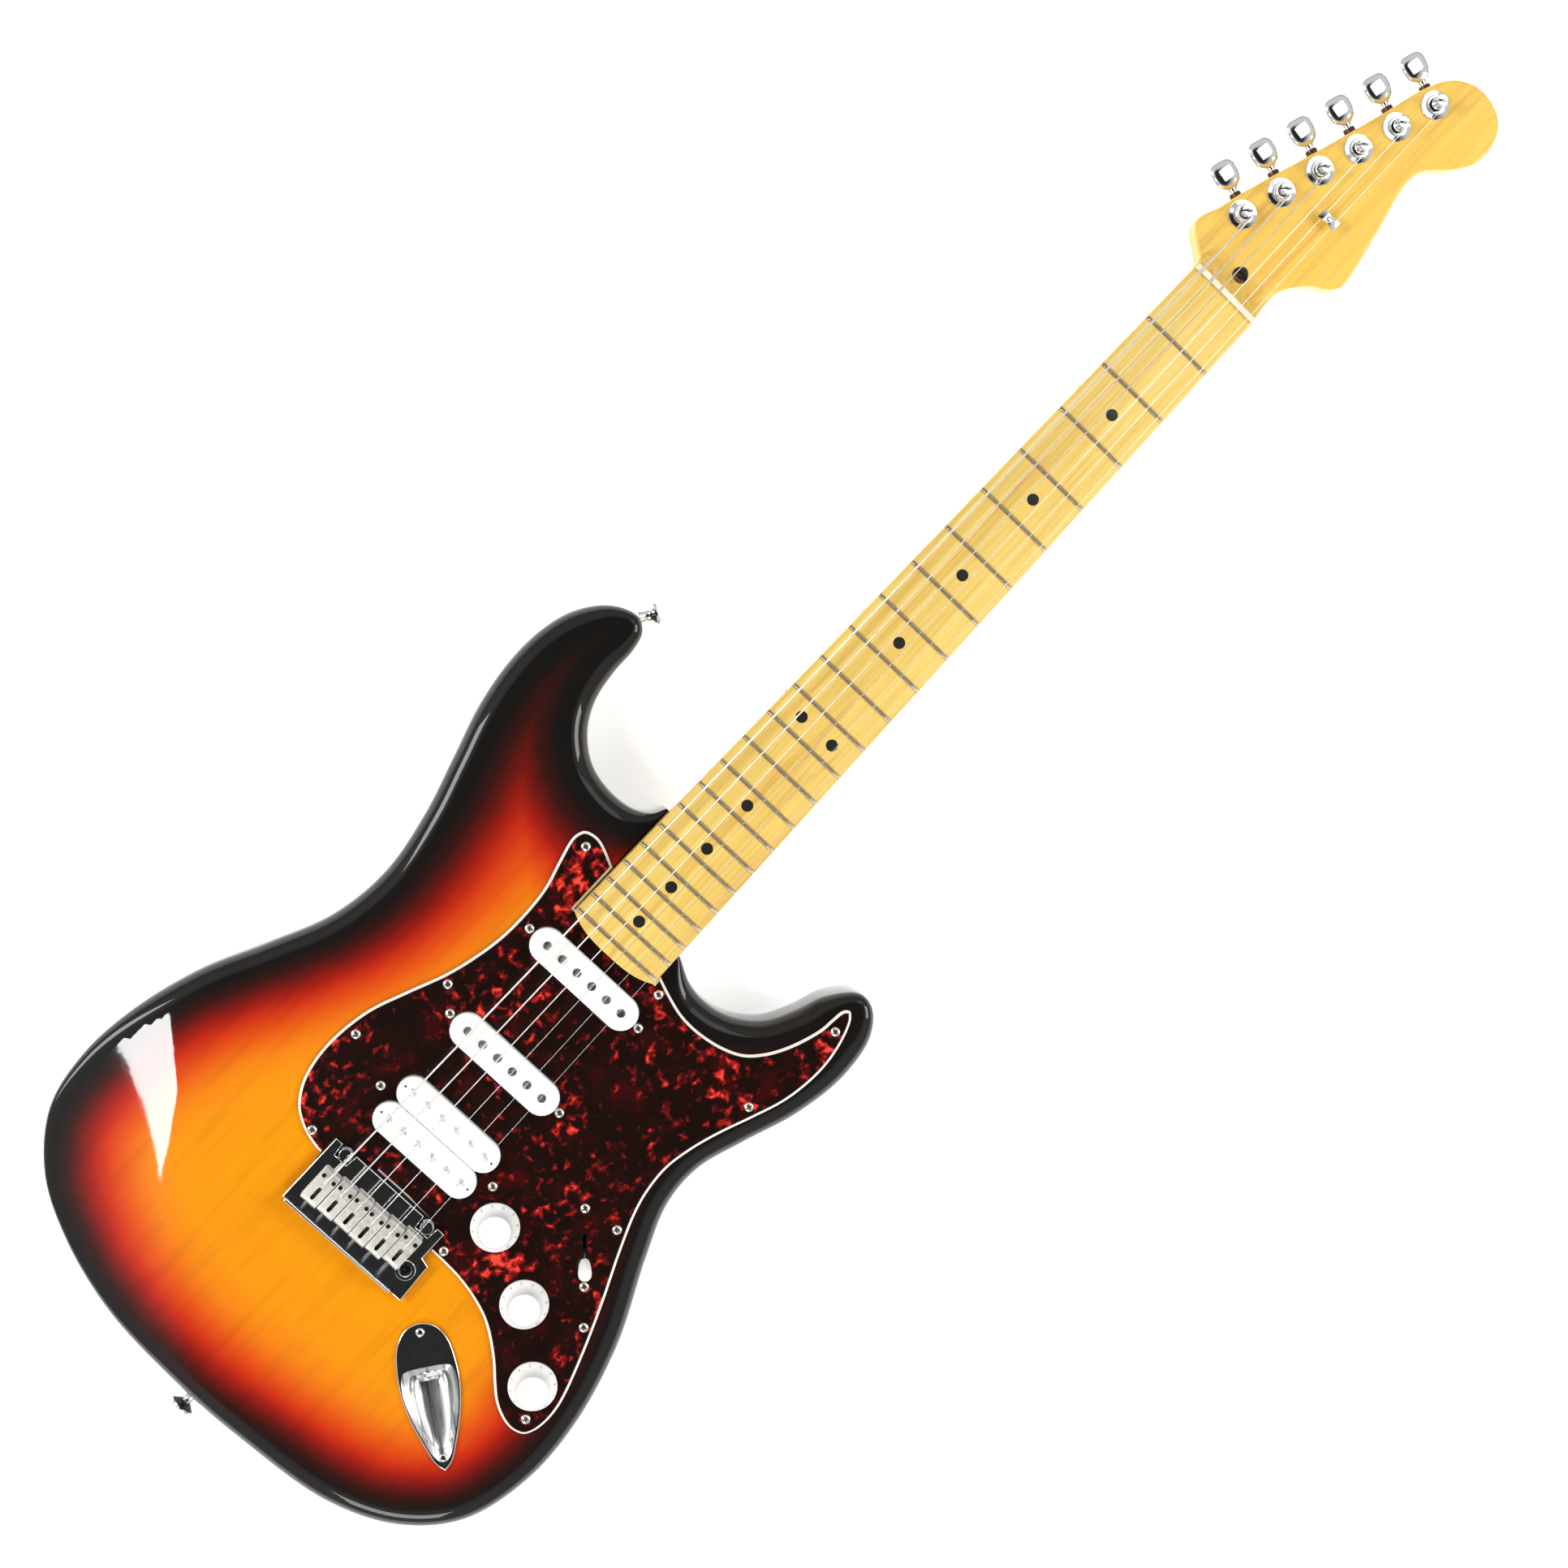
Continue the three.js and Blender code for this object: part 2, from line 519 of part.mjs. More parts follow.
function switchPoint(along, across) {
  return [
    SWITCH[0] + along * SWITCH_DIRECTION[0] - across * SWITCH_DIRECTION[1],
    SWITCH[1] + along * SWITCH_DIRECTION[1] + across * SWITCH_DIRECTION[0],
  ];
}
const switchRect = (half, width) =>
  [[-half, -width], [half, -width], [half, width], [-half, width]].map((p) => switchPoint(...p));

// The neck, bridge, pickups, controls and switch come up through the pickguard.
const pickguardHoles = [
  [[HEEL_X - 2 * GAP, -POCKET_HALF], [230, -POCKET_HALF], [230, POCKET_HALF],
    [HEEL_X - 2 * GAP, POCKET_HALF]],
  roundedBox(-10, 11.6, -38.3, 38.3, 1),
  ...[NECK_PICKUP_X, MIDDLE_PICKUP_X].map((x) => stadium(x, 0, ...grown(COVER_SIZE, 2 * GAP))),
  ...BOBBIN_X.map((x) => stadium(x, 0, ...grown(BOBBIN_SIZE, 2 * GAP))),
  switchRect(6.9, 1),
].map((outline) => prism(outline, GUARD_Z - 1, GUARD_TOP + 1));
const bushingHoles = [VOLUME, ...TONES].map((p) => rod(4.9, GUARD_Z - 1, GUARD_TOP + 1, 10, at(...p)));
const guardBlank = prism(GUARD_OUTLINE, GUARD_Z, GUARD_TOP);
add('pickguard', toGeometry(cut(guardBlank, ...pickguardHoles, ...bushingHoles)), TORTOISE);

function pickupCover(x) {
  const shell = prism(stadium(x, 0, ...COVER_SIZE), FACE - 6, COVER_TOP);
  const hollow = prism(stadium(x, 0, ...grown(COVER_SIZE, -2 * COVER_WALL)), FACE - 7,
    COVER_TOP - COVER_WALL);
  const holes = STRINGS.map((i) =>
    rod(POLE_R + 0.5, COVER_TOP - 3, COVER_TOP + 1, 6, at(x, poleY(i, COVER_POLES))));
  return cut(shell, hollow, ...holes);
}

function pickupCoil(x) {
  const coil = prism(stadium(x, 0, ...COIL_SIZE, 4), FACE - 12, COVER_TOP - 1.8);
  const flatwork = prism(roundedBox(x - 9, x + 9, -42, 42, 4, 1), FACE - 14.5, FACE - 12);
  const poles = STRINGS.map((i) => rod(POLE_R, FACE - 10, POLE_TOP, 6, at(x, poleY(i, COVER_POLES))));
  return joined(coil, flatwork, ...poles);
}

add('neck_pickup_cover', toGeometry(pickupCover(NECK_PICKUP_X)), WHITE);
add('neck_pickup_coil', toGeometry(pickupCoil(NECK_PICKUP_X)), STEEL);
add('middle_pickup_cover', toGeometry(pickupCover(MIDDLE_PICKUP_X)), WHITE);
add('middle_pickup_coil', toGeometry(pickupCoil(MIDDLE_PICKUP_X)), STEEL);

function humbucker() {
  const bobbins = BOBBIN_X.map((x) => prism(stadium(x, 0, ...BOBBIN_SIZE), FACE - 9, COVER_TOP));
  const poles = BOBBIN_X.flatMap((x) => STRINGS.map((i) =>
    rod(POLE_R, COVER_TOP - 1, COVER_TOP + 0.7, 6, at(x, poleY(i, BOBBIN_POLES)))));
  const plate = box(BOBBIN_X[0] - 9, BOBBIN_X[1] + 9, -34, 34, FACE - 12, FACE - 9.5);
  const core = box(BOBBIN_X[0] - 7, BOBBIN_X[1] + 7, -30, 30, FACE - 10, FACE - 6);
  const legs = box(41.7, 49.7, -43, 43, FACE - 13.5, FACE - 11.5);
  return joined(...bobbins, ...poles, plate, core, legs);
}
add('humbucker', toGeometry(humbucker()), WHITE);

// ---------------------------------------------------------------- controls
// Skirted knob with the potentiometer's shaft, which turns with it.
function knob([x, y]) {
  const foot = GUARD_TOP + 0.5;
  return turned([
    [0, FACE - 7], [3, FACE - 7], [3, foot + 8], [9.5, foot + 6], [11.8, foot], [13, foot],
    [13, foot + 1.6], [10.4, foot + 4.6], [8.8, foot + 8], [8.3, foot + 12.4], [7.8, foot + 13],
    [0, foot + 13],
  ], 16, at(x, y));
}
add('volume_knob', toGeometry(knob(VOLUME)), WHITE);
add('tone_knob_1', toGeometry(knob(TONES[0])), WHITE);
add('tone_knob_2', toGeometry(knob(TONES[1])), WHITE);

// Three potentiometers hang from the shield plate under the pickguard.
function controlPots() {
  const shield = prism([[20, -41], [45, -44], [46, -64], [24, -104], [-4, -131], [-18, -137],
    [-28, -132], [-28.5, -120], [-12, -103], [0, -84], [17, -60]], FACE - 2.3, FACE - GAP);
  const places = [VOLUME, ...TONES].map((p) => at(...p));
  const cans = places.map((place) => rod(11.8, FACE - 12, FACE - 2.2, 16, place));
  const bushings = places.map((place) => rod(4.5, FACE - 3, GUARD_TOP + 2, 10, place));
  const shaftHoles = places.map((place) => rod(3.4, FACE - 9, GUARD_TOP + 3, 10, place));
  return cut(joined(shield, ...cans, ...bushings), ...shaftHoles);
}
add('control_pots', toGeometry(controlPots()), STEEL);

const LEVER_PIVOT_Z = FACE - 6;
const LEVER_REST = 0.54;             // lean towards the bridge at rest, radians

// A frame at the lever's pivot: local Z up the lever, local X along the slot.
function leverFrame() {
  const along = new THREE.Vector3(SWITCH_DIRECTION[0], SWITCH_DIRECTION[1], 0);
  const across = new THREE.Vector3(-SWITCH_DIRECTION[1], SWITCH_DIRECTION[0], 0);
  const up = new THREE.Vector3(0, 0, 1).applyAxisAngle(across, -LEVER_REST);
  const forward = along.clone().applyAxisAngle(across, -LEVER_REST);
  return new THREE.Matrix4().makeBasis(forward, across, up)
    .setPosition(SWITCH[0], SWITCH[1], LEVER_PIVOT_Z);
}
function barIn(frame, half, z0, z1) {
  const geometry = new THREE.BoxGeometry(2 * half[0], 2 * half[1], z1 - z0);
  return toSolid(geometry.translate(0, 0, (z0 + z1) / 2).applyMatrix4(frame));
}
add('switch_lever', toGeometry(barIn(leverFrame(), [1.3, 0.6], -9, 20)), STEEL);

function switchTip() {
  const frame = leverFrame();
  const sections = [[13, 2.2, 2], [15.5, 3.2, 3], [22, 3.9, 3.6], [25.6, 3, 2.7]];
  const steps = 8;
  const rings = sections.map(([z, along, across]) => Array.from({ length: steps }, (_, i) => {
    const a = (2 * PI * i) / steps;
    const p = new THREE.Vector3(along * cos(a), across * sin(a), z).applyMatrix4(frame);
    return [p.x, p.y, p.z];
  }));
  return loft(rings).subtract(barIn(frame, [1.6, 0.9], 12, 20.3));
}
add('switch_tip', toGeometry(switchTip()), WHITE);

function switchFrame() {
  const plate = prism(switchRect(23.5, 5.5), FACE - 1.6, FACE - GAP);
  const wall = prism([[-17, 3], [17, 3], [17, 4.6], [-17, 4.6]].map((p) => switchPoint(...p)),
    FACE - 24, FACE - 1.5);
  const slot = prism(switchRect(7.5, 1.4), FACE - 3, FACE + 1);
  return joined(plate, wall).subtract(slot);
}
add('switch_frame', toGeometry(switchFrame()), STEEL);

// ---------------------------------------------------------------- tremolo bridge
const PLATE_TOP = PLATE_Z + PLATE_T;
const bridgeOutline = [[-29.6, 37.7], [-29.6, -44.4], [-7, -43], [-5.5, -37.7], [11, -37.7],
  [11, -33], [4, -32.2], [4, -24.2], [11, -23.4], [11, 23.4], [4, 24.2], [4, 32.2], [11, 33],
  [11, 37.7]];
const bridgePlate = cut(
  joined(
    prism(bridgeOutline, PLATE_Z, PLATE_TOP),
    box(-29.6, -27.8, -36, 36, PLATE_TOP - 1, PLATE_TOP + 6),
  ),
  rod(ARM_HOLE_R, PLATE_Z - 1, PLATE_TOP + 1, 12, at(...ARM_HOLE)),
  ...STRINGS.map((i) => rod(1.6, PLATE_Z - 1, PLATE_TOP + 1, 6, at(BLOCK_HOLE_X, bridgeY(i)))),
);
add('bridge_plate', toGeometry(bridgePlate), CHROME);

const BLOCK_X = [-20, -7];
const BLOCK_BOTTOM = FACE - 37.5;
const SPRING_Z = BLOCK_BOTTOM + 4;
const SPRING_Y = [-17, 0, 17];
const block = cut(
  box(BLOCK_X[0], BLOCK_X[1], -39.4, 33, BLOCK_BOTTOM, PLATE_Z - GAP),
  rod(ARM_HOLE_R, PLATE_Z - 22, PLATE_Z, 12, at(...ARM_HOLE)),
  box(BLOCK_X[1] - 2, BLOCK_X[1] + 1, -40, -36.4, BLOCK_BOTTOM - 1, PLATE_Z),
  ...STRINGS.map((i) => rod(1.7, BLOCK_BOTTOM - 1, PLATE_Z, 6, at(BLOCK_HOLE_X, bridgeY(i)))),
  ...SPRING_Y.map((y) => rod(1.5, -5, 5, 6, aimed([BLOCK_X[1], y + 5, SPRING_Z], [1, 0, 0]))),
);
add('inertia_block', toGeometry(block), STEEL);

for (const i of STRINGS) {
  const x0 = SADDLE_REAR[i];
  const y = bridgeY(i);
  const top = saddleZ(i) - STRING_R[i] - 0.5;
  const half = BRIDGE_PITCH / 2 - 0.2;
  const saddle = cut(
    box(x0, x0 + SADDLE_LENGTH, y - half, y + half, PLATE_TOP + 0.8, top),
    box(x0 + 3.5, x0 + 14.5, y - 1.3, y + 1.3, PLATE_TOP, top + 1),
  );
  add(`saddle_${i + 1}`, toGeometry(saddle), STEEL);
}

// Each stud's groove takes the plate's knife edge.
for (const [name, y] of [['pivot_stud_bass', STUD_Y], ['pivot_stud_treble', -STUD_Y]]) {
  add(name, toGeometry(turned([
    [0, FACE - 18], [3, FACE - 18], [3, PIVOT[1] - 1.6], [3.5, PIVOT[1] - 1.4], [2.4, PIVOT[1]],
    [3.6, PIVOT[1] + 1.4], [3.6, PIVOT[1] + 4], [0, PIVOT[1] + 4],
  ], 10, at(PIVOT[0], y))), CHROME);
}

// Springs hook into the block and pull it towards the claw.
const CLAW_X = 94;
const claw = joined(
  box(CLAW_X, CLAW_X + 2, -30, 30, SPRING_Z - 6, SPRING_Z + 6),
  box(CLAW_X - 3, CLAW_X + 0.5, -30, 30, SPRING_Z - 6, SPRING_Z - 4.6),
);
add('spring_claw', toGeometry(claw), STEEL);
SPRING_Y.forEach((y, i) => {
  const start = BLOCK_X[1] + GAP;
  const length = CLAW_X - GAP - start;
  add(`tremolo_spring_${i + 1}`, toGeometry(turned([
    [0, 0], [0.8, 0], [0.8, 5], [3.6, 7], [3.6, length - 12], [0.8, length - 10], [0.8, length],
    [0, length],
  ], 8, aimed([start, y, SPRING_Z], [1, 0, 0]))), STEEL);
});

// ---------------------------------------------------------------- back plates, jack and strap buttons
const backCover = prism(roundedBox(-39, 113, -45.5, 43.5, 6), 0, COVER_T)
  .subtract(prism(roundedBox(-21, -7, -33, 33, 3, 2), -1, COVER_T + 1));
add('back_cover', toGeometry(backCover), WHITE);
add('neck_plate', toGeometry(prism(roundedBox(183, 247, -25.5, 25.5, 4), 0, COVER_T)), CHROME);

const JACK_EDGE = [[-14, 0], [-11.4, 8], [-4, 13.2], [8, 15.6], [22, 15.7], [36, 13.3], [50, 8.9],
  [61, 4.4], [65.5, 0]];
const CUP_EDGE = [[9, 0], [9.4, 8], [12.5, 12], [24, 12], [36, 9.8], [47, 6.2], [55, 0]];
const JACK_TOP = FACE + GAP + 1.4;
const CUP_DEEP = 15.5;
const cupFloor = (u) => JACK_TOP - CUP_DEEP * (1 - (u - 12) / 45);

// The recess is a lofted pocket: its floor falls from the pointed end to the socket's wall.
function cupPocket(grow, top) {
  const edge = smooth(mirrored(CUP_EDGE), true, 1);
  const middle = 30;
  const scaled = (k) => edge.map(([u, v]) => [middle + (u - middle) * k, v * k]);
  const upper = scaled(1 + grow / 14).map(([u, v]) => [...jackPoint(u, v), top]);
  const lower = scaled(0.84 + grow / 14).map(([u, v]) => [...jackPoint(u, v), cupFloor(u) - grow]);
  return loft([lower, upper]);
}

const JACK_SLOPE = 0.31;             // the socket's axis above the face plane, radians
const SOCKET_U = 14.5;
const socketFrame = aimed(
  [...jackPoint(SOCKET_U, 0), JACK_TOP - 7.2],
  [JACK_ALONG[0] * cos(JACK_SLOPE), JACK_ALONG[1] * cos(JACK_SLOPE), sin(JACK_SLOPE)]);
const jackPlate = cut(
  joined(prism(jackOutline(JACK_EDGE, 1), FACE + GAP, JACK_TOP), cupPocket(1.2, JACK_TOP)),
  cupPocket(0, JACK_TOP + 0.01),
  rod(5, -20, 6, 10, socketFrame),
);
add('jack_plate', toGeometry(jackPlate), CHROME);

const outputJack = turned([
  [3.4, -20], [7, -20], [7, -8.4], [4.6, -8.4], [4.6, -2.8], [6.2, -2.8], [6.2, -0.4], [4.6, -0.4],
  [4.6, 2.4], [3.4, 2.4], [3.4, -20],
], 10, socketFrame);
add('output_jack', toGeometry(outputJack), STEEL);

const STRAP_TALL = 11.4;

function strapButton(origin, axis) {
  return turned([[0, GAP], [4.6, GAP], [4, 3], [3.6, 6.5], [7, 8.8], [7.4, 10], [6.6, STRAP_TALL],
    [0, STRAP_TALL]], 14, aimed(origin, axis));
}
const STRAP_Z = BACK + BODY_T / 2;
const TAIL = [-141, -1, STRAP_Z];
const HORN_TIP = [314.3, 107, STRAP_Z];
add('strap_button_lower', toGeometry(strapButton(TAIL, [-1, 0, 0])), CHROME);
add('strap_button_upper', toGeometry(strapButton(HORN_TIP, [0.86, -0.51, 0])), CHROME);

// ---------------------------------------------------------------- strings
const POST_STRING_Z = HEAD_Z + 6;
const TREE = [718.6, -14];
const TREE_Z = HEAD_Z + 4;

// A string runs up through the block, over its saddle and the nut, under the string tree if it is
// one of the two thinnest, and to its post.
function stringLine(i) {
  const r = STRING_R[i];
  const y = bridgeY(i);
  const [px, py] = post(i);
  const side = py - POST_R - r - GAP;
  const z = saddleZ(i);
  const contact = SADDLE_REAR[i] + SADDLE_LENGTH - 4;
  const line = [
    [BLOCK_HOLE_X, y, BLOCK_BOTTOM + 8], [BLOCK_HOLE_X, y, PLATE_TOP + 1.6],
    [BLOCK_HOLE_X + 2, y, z - 1], [contact, y, z],
    [SCALE + 1, nutY(i), STRING_NUT_Z + r - sag(nutY(i))],
  ];
  if (i > 3) line.push([TREE[0], THREE.MathUtils.lerp(nutY(i), side, 0.5), TREE_Z]);
  line.push([px, side, POST_STRING_Z]);
  return line;
}

// A round bar along a run of straight stretches, mitred where they meet.
function bar(line, r, sides) {
  const points = line.map((p) => new THREE.Vector3(...p));
  const rings = points.map((p, i) => {
    const before = i > 0 ? p.clone().sub(points[i - 1]).normalize() : null;
    const after = i + 1 < points.length ? points[i + 1].clone().sub(p).normalize() : null;
    const way = (before && after ? before.clone().add(after) : (before || after)).normalize();
    const across = new THREE.Vector3(0, 1, 0).sub(way.clone().multiplyScalar(way.y)).normalize();
    const up = new THREE.Vector3().crossVectors(way, across);
    const stretch = before && after ? 1 / max(0.6, way.dot(before)) : 1;
    return Array.from({ length: sides }, (_, k) => {
      const a = (2 * PI * k) / sides;
      const q = p.clone().addScaledVector(across, r * cos(a))
        .addScaledVector(up, r * sin(a) * stretch);
      return [q.x, q.y, q.z];
    });
  });
  return loft(rings);
}
for (const i of STRINGS) {
  add(`string_${i + 1}`, toGeometry(bar(stringLine(i), STRING_R[i], 6)), STEEL);
}

add('string_tree', toGeometry(joined(
  rod(2, HEAD_Z + GAP, TREE_Z + 1.6, 8, at(...TREE)),
  box(TREE[0] - 3.6, TREE[0] + 3.6, TREE[1] - 5.6, TREE[1] + 5.6, TREE_Z + 0.8, TREE_Z + 2),
)), CHROME);

// ---------------------------------------------------------------- tuners
const CASE_TOP = HEAD_Z - HEAD_T - GAP;
const CASE_T = 12;
const KEY_Z = CASE_TOP - 6;
const local = (i, along, out) => {
  const [x, y] = post(i);
  return [
    x + along * TUNER_ALONG[0] + out * TUNER_OUT[0],
    y + along * TUNER_ALONG[1] + out * TUNER_OUT[1],
  ];
};
const keyFrame = (i) => aimed([...local(i, WORM_OFFSET, 0), KEY_Z], [...TUNER_OUT, 0]);

// Each case holds its worm and wheel; its barrel comes up through the headstock to a round nut.
function tunerCase(i) {
  const [a0, a1] = [WORM_OFFSET + 6 - TUNER_PITCH, WORM_OFFSET + 6.1];
  const shell = prism([[a0, -8], [a1, -8], [a1, 10], [a0, 10]].map((p) => local(i, ...p)),
    CASE_TOP - CASE_T, CASE_TOP);
  const barrel = rod(4.9, CASE_TOP - 1, HEAD_Z + 2.4, 8, at(...post(i)));
  const flange = rod(7.3, HEAD_Z + GAP, HEAD_Z + 1.5, 10, at(...post(i)));
  return cut(
    joined(shell, barrel, flange),
    rod(POST_R + 2 * GAP, CASE_TOP - CASE_T + 1.2, HEAD_Z + 4, 8, at(...post(i))),
    rod(6.7, KEY_Z - 2, KEY_Z + 2, 10, at(...post(i))),
    rod(3, -5.5, 12, 6, keyFrame(i)),
  );
}
add('tuner_housings', toGeometry(joined(...STRINGS.map(tunerCase))), CHROME);

for (const i of STRINGS) {
  add(`tuner_post_${i + 1}`, toGeometry(turned([
    [0, CASE_TOP - CASE_T + 1.6], [POST_R, CASE_TOP - CASE_T + 1.6], [POST_R, KEY_Z - 1.6],
    [6, KEY_Z - 1.6], [6, KEY_Z + 1.6], [POST_R, KEY_Z + 1.6], [POST_R, HEAD_Z + 12],
    [0, HEAD_Z + 12],
  ], 8, at(...post(i)))), CHROME);
}

// Key: a shaft with its worm, and a waisted flat button.
function tunerKey(i) {
  const frame = keyFrame(i);
  const shaft = turned([[0, -5], [2.4, -5], [2.4, 5], [2.1, 5], [2.1, 17], [0, 17]], 6, frame);
  const sections = [[14.5, 3.2, 2.6], [18, 6.4, 3.4], [24, 7.6, 4], [29, 7, 3.6], [31.8, 4.6, 2.2]];
  const steps = 8;
  const rings = sections.map(([out, wide, thick]) => Array.from({ length: steps }, (_, k) => {
    const a = (2 * PI * k) / steps;
    const [x, y] = local(i, WORM_OFFSET + wide * cos(a), out);
    return [x, y, KEY_Z + thick * sin(a)];
  }));
  return shaft.add(loft(rings));
}
for (const i of STRINGS) {
  add(`tuner_key_${i + 1}`, toGeometry(tunerKey(i)), CHROME);
}

export default guitar;
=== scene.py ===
"""The looks of the electric guitar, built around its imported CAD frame.

Helpers work in millimetres in the frame's own axes: +X to the headstock, +Y to the bass side and
+Z out of the face. piece() turns millimetres into metres when it makes the mesh.
"""
import json
import math
import random

import bmesh
import bpy
import numpy as np
from mathutils import Matrix, Vector, geometry


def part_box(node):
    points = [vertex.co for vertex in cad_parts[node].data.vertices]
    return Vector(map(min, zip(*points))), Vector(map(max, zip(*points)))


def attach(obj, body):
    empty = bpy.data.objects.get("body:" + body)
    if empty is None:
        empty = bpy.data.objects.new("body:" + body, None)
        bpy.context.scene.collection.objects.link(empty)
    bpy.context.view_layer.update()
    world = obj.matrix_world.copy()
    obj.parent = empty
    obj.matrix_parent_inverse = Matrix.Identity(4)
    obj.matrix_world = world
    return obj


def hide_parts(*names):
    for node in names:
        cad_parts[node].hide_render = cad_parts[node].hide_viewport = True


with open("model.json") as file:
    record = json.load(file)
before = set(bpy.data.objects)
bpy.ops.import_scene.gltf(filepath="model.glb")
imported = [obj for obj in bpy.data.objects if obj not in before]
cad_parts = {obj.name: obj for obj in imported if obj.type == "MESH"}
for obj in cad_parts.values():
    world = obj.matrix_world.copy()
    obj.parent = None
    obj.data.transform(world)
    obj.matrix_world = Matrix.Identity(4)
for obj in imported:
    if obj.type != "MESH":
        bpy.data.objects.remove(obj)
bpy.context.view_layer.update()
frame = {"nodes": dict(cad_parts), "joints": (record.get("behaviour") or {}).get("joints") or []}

MM = 0.001
ROOT = "body_and_neck"
TAU = 2 * math.pi

# ---------------------------------------------------------------- camera
CAMERA_AT = Vector((0.2450, 0.1308, 1.3145))
CAMERA_TARGET = Vector((0.3044, -0.0124, 0.0))
CAMERA_UP = Vector((0.7304, 0.6818, -0.0412))
LENS = 55.9


def make_camera():
    data = bpy.data.cameras.new("camera")
    data.lens = LENS
    data.sensor_width = 36.0
    camera = bpy.data.objects.new("camera", data)
    bpy.context.scene.collection.objects.link(camera)
    back = (CAMERA_AT - CAMERA_TARGET).normalized()
    right = CAMERA_UP.cross(back).normalized()
    up = back.cross(right)
    turn = Matrix((right, up, back)).transposed().to_4x4()
    camera.matrix_world = Matrix.Translation(CAMERA_AT) @ turn
    bpy.context.scene.camera = camera


make_camera()


# ---------------------------------------------------------------- places read from the frame
def box_of(node):
    low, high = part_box(node)
    return low / MM, high / MM


def middle_of(node):
    low, high = box_of(node)
    return (low + high) / 2


JOINTS = {joint["name"]: joint for joint in frame["joints"]}


def joint_place(name):
    return Vector(JOINTS[name]["pos_m"]) / MM


BACK = box_of("body")[0].z
FACE = box_of("body")[1].z
GUARD_Z, GUARD_TOP = box_of("pickguard")[0].z, box_of("pickguard")[1].z
COVER_T = box_of("back_cover")[1].z
COVER_TOP = box_of("neck_pickup_cover")[1].z
BOARD_Z = FACE + 9.5
BOARD_R = 241
SCALE = 648
BOARD_END = box_of("neck")[0].x
HEEL_X = 181
HEEL_Z = FACE - 15.9
HALF_NUT = 21.4
HALF_END = 28.2
NUT_T = 3.4
HEAD_T = 14.3
HEAD_Z = FACE - 1
STRING_Z = FACE + 13.4
STRING_NUT_Z = BOARD_Z + 1.8
STRING_R = [0.58, 0.46, 0.33, 0.22, 0.17, 0.13]
BRIDGE_PITCH = 10.5
NUT_PITCH = 7
FRETS = 22
PLATE_Z = FACE + 2.6
PLATE_TOP = PLATE_Z + 2.4
JACK = Vector((-41, -71))
JACK_ALONG = Vector((-0.6, -0.8))
STRINGS = range(6)


def sag(y):
    return BOARD_R - math.sqrt(BOARD_R * BOARD_R - y * y)


def half_width(x):
    return HALF_NUT + (HALF_END - HALF_NUT) * (SCALE - x) / (SCALE - BOARD_END)


def fret_x(n):
    return SCALE * 2 ** (-n / 12)


def bridge_y(i):
    return (2.5 - i) * BRIDGE_PITCH


def nut_y(i):
    return (2.5 - i) * NUT_PITCH


def post_place(i):
    return joint_place(f"tuner_post_{i + 1}_turn")


# ---------------------------------------------------------------- lines
def smoothstep(x, low, high):
    t = min(1.0, max(0.0, (x - low) / (high - low)))
    return t * t * (3 - 2 * t)


def lerp(a, b, t):
    return a + (b - a) * t


def curve_through(points, closed, per_span):
    """Points on a centripetal Catmull-Rom curve through the given 2D or 3D ones."""
    points = [Vector(p) for p in points]
    n = len(points)
    spans = n if closed else n - 1
    made = []
    for i in range(spans):
        b, c = points[i], points[(i + 1) % n]
        a = points[i - 1] if closed or i > 0 else b * 2 - c
        d = points[(i + 2) % n] if closed or i + 2 < n else c * 2 - b
        knots = [0.0]
        for p, q in ((a, b), (b, c), (c, d)):
            knots.append(knots[-1] + max((q - p).length, 1e-6) ** 0.5)
        for k in range(per_span):
            t = lerp(knots[1], knots[2], k / per_span)
            made.append(_catmull((a, b, c, d), knots, t))
    if not closed:
        made.append(points[-1])
    return made


def _catmull(points, knots, t):
    level = list(points)
    for width in (1, 2):
        level = [
            level[k].lerp(level[k + 1], (t - knots[k]) / (knots[k + width] - knots[k]))
            for k in range(len(level) - 1)
        ]
    return level[0].lerp(level[1], (t - knots[1]) / (knots[2] - knots[1]))


def area_of(loop):
    total = 0.0
    for (x0, y0), (x1, y1) in zip(loop, loop[1:] + loop[:1]):
        total += (x0 * y1 - x1 * y0) / 2
    return total


def circle(x, y, r, steps=32):
    return [(x + r * math.cos(TAU * k / steps), y + r * math.sin(TAU * k / steps))
            for k in range(steps)]


def stadium(x, y, width, length, steps=14):
    """A slot with round ends, long in Y."""
    r = width / 2
    reach = length / 2 - r
    points = []
    for centre, start in ((y + reach, 0.0), (y - reach, math.pi)):
        for k in range(steps + 1):
            a = start + math.pi * k / steps
            points.append((x + r * math.cos(a), centre + r * math.sin(a)))
    return points


def rounded_box(x0, x1, y0, y1, r, steps=6):
    corners = ((x1 - r, y0 + r, -0.25), (x1 - r, y1 - r, 0.0),
               (x0 + r, y1 - r, 0.25), (x0 + r, y0 + r, 0.5))
    points = []
    for x, y, start in corners:
        for k in range(steps + 1):
            a = TAU * (start + 0.25 * k / steps)
            points.append((x + r * math.cos(a), y + r * math.sin(a)))
    return points


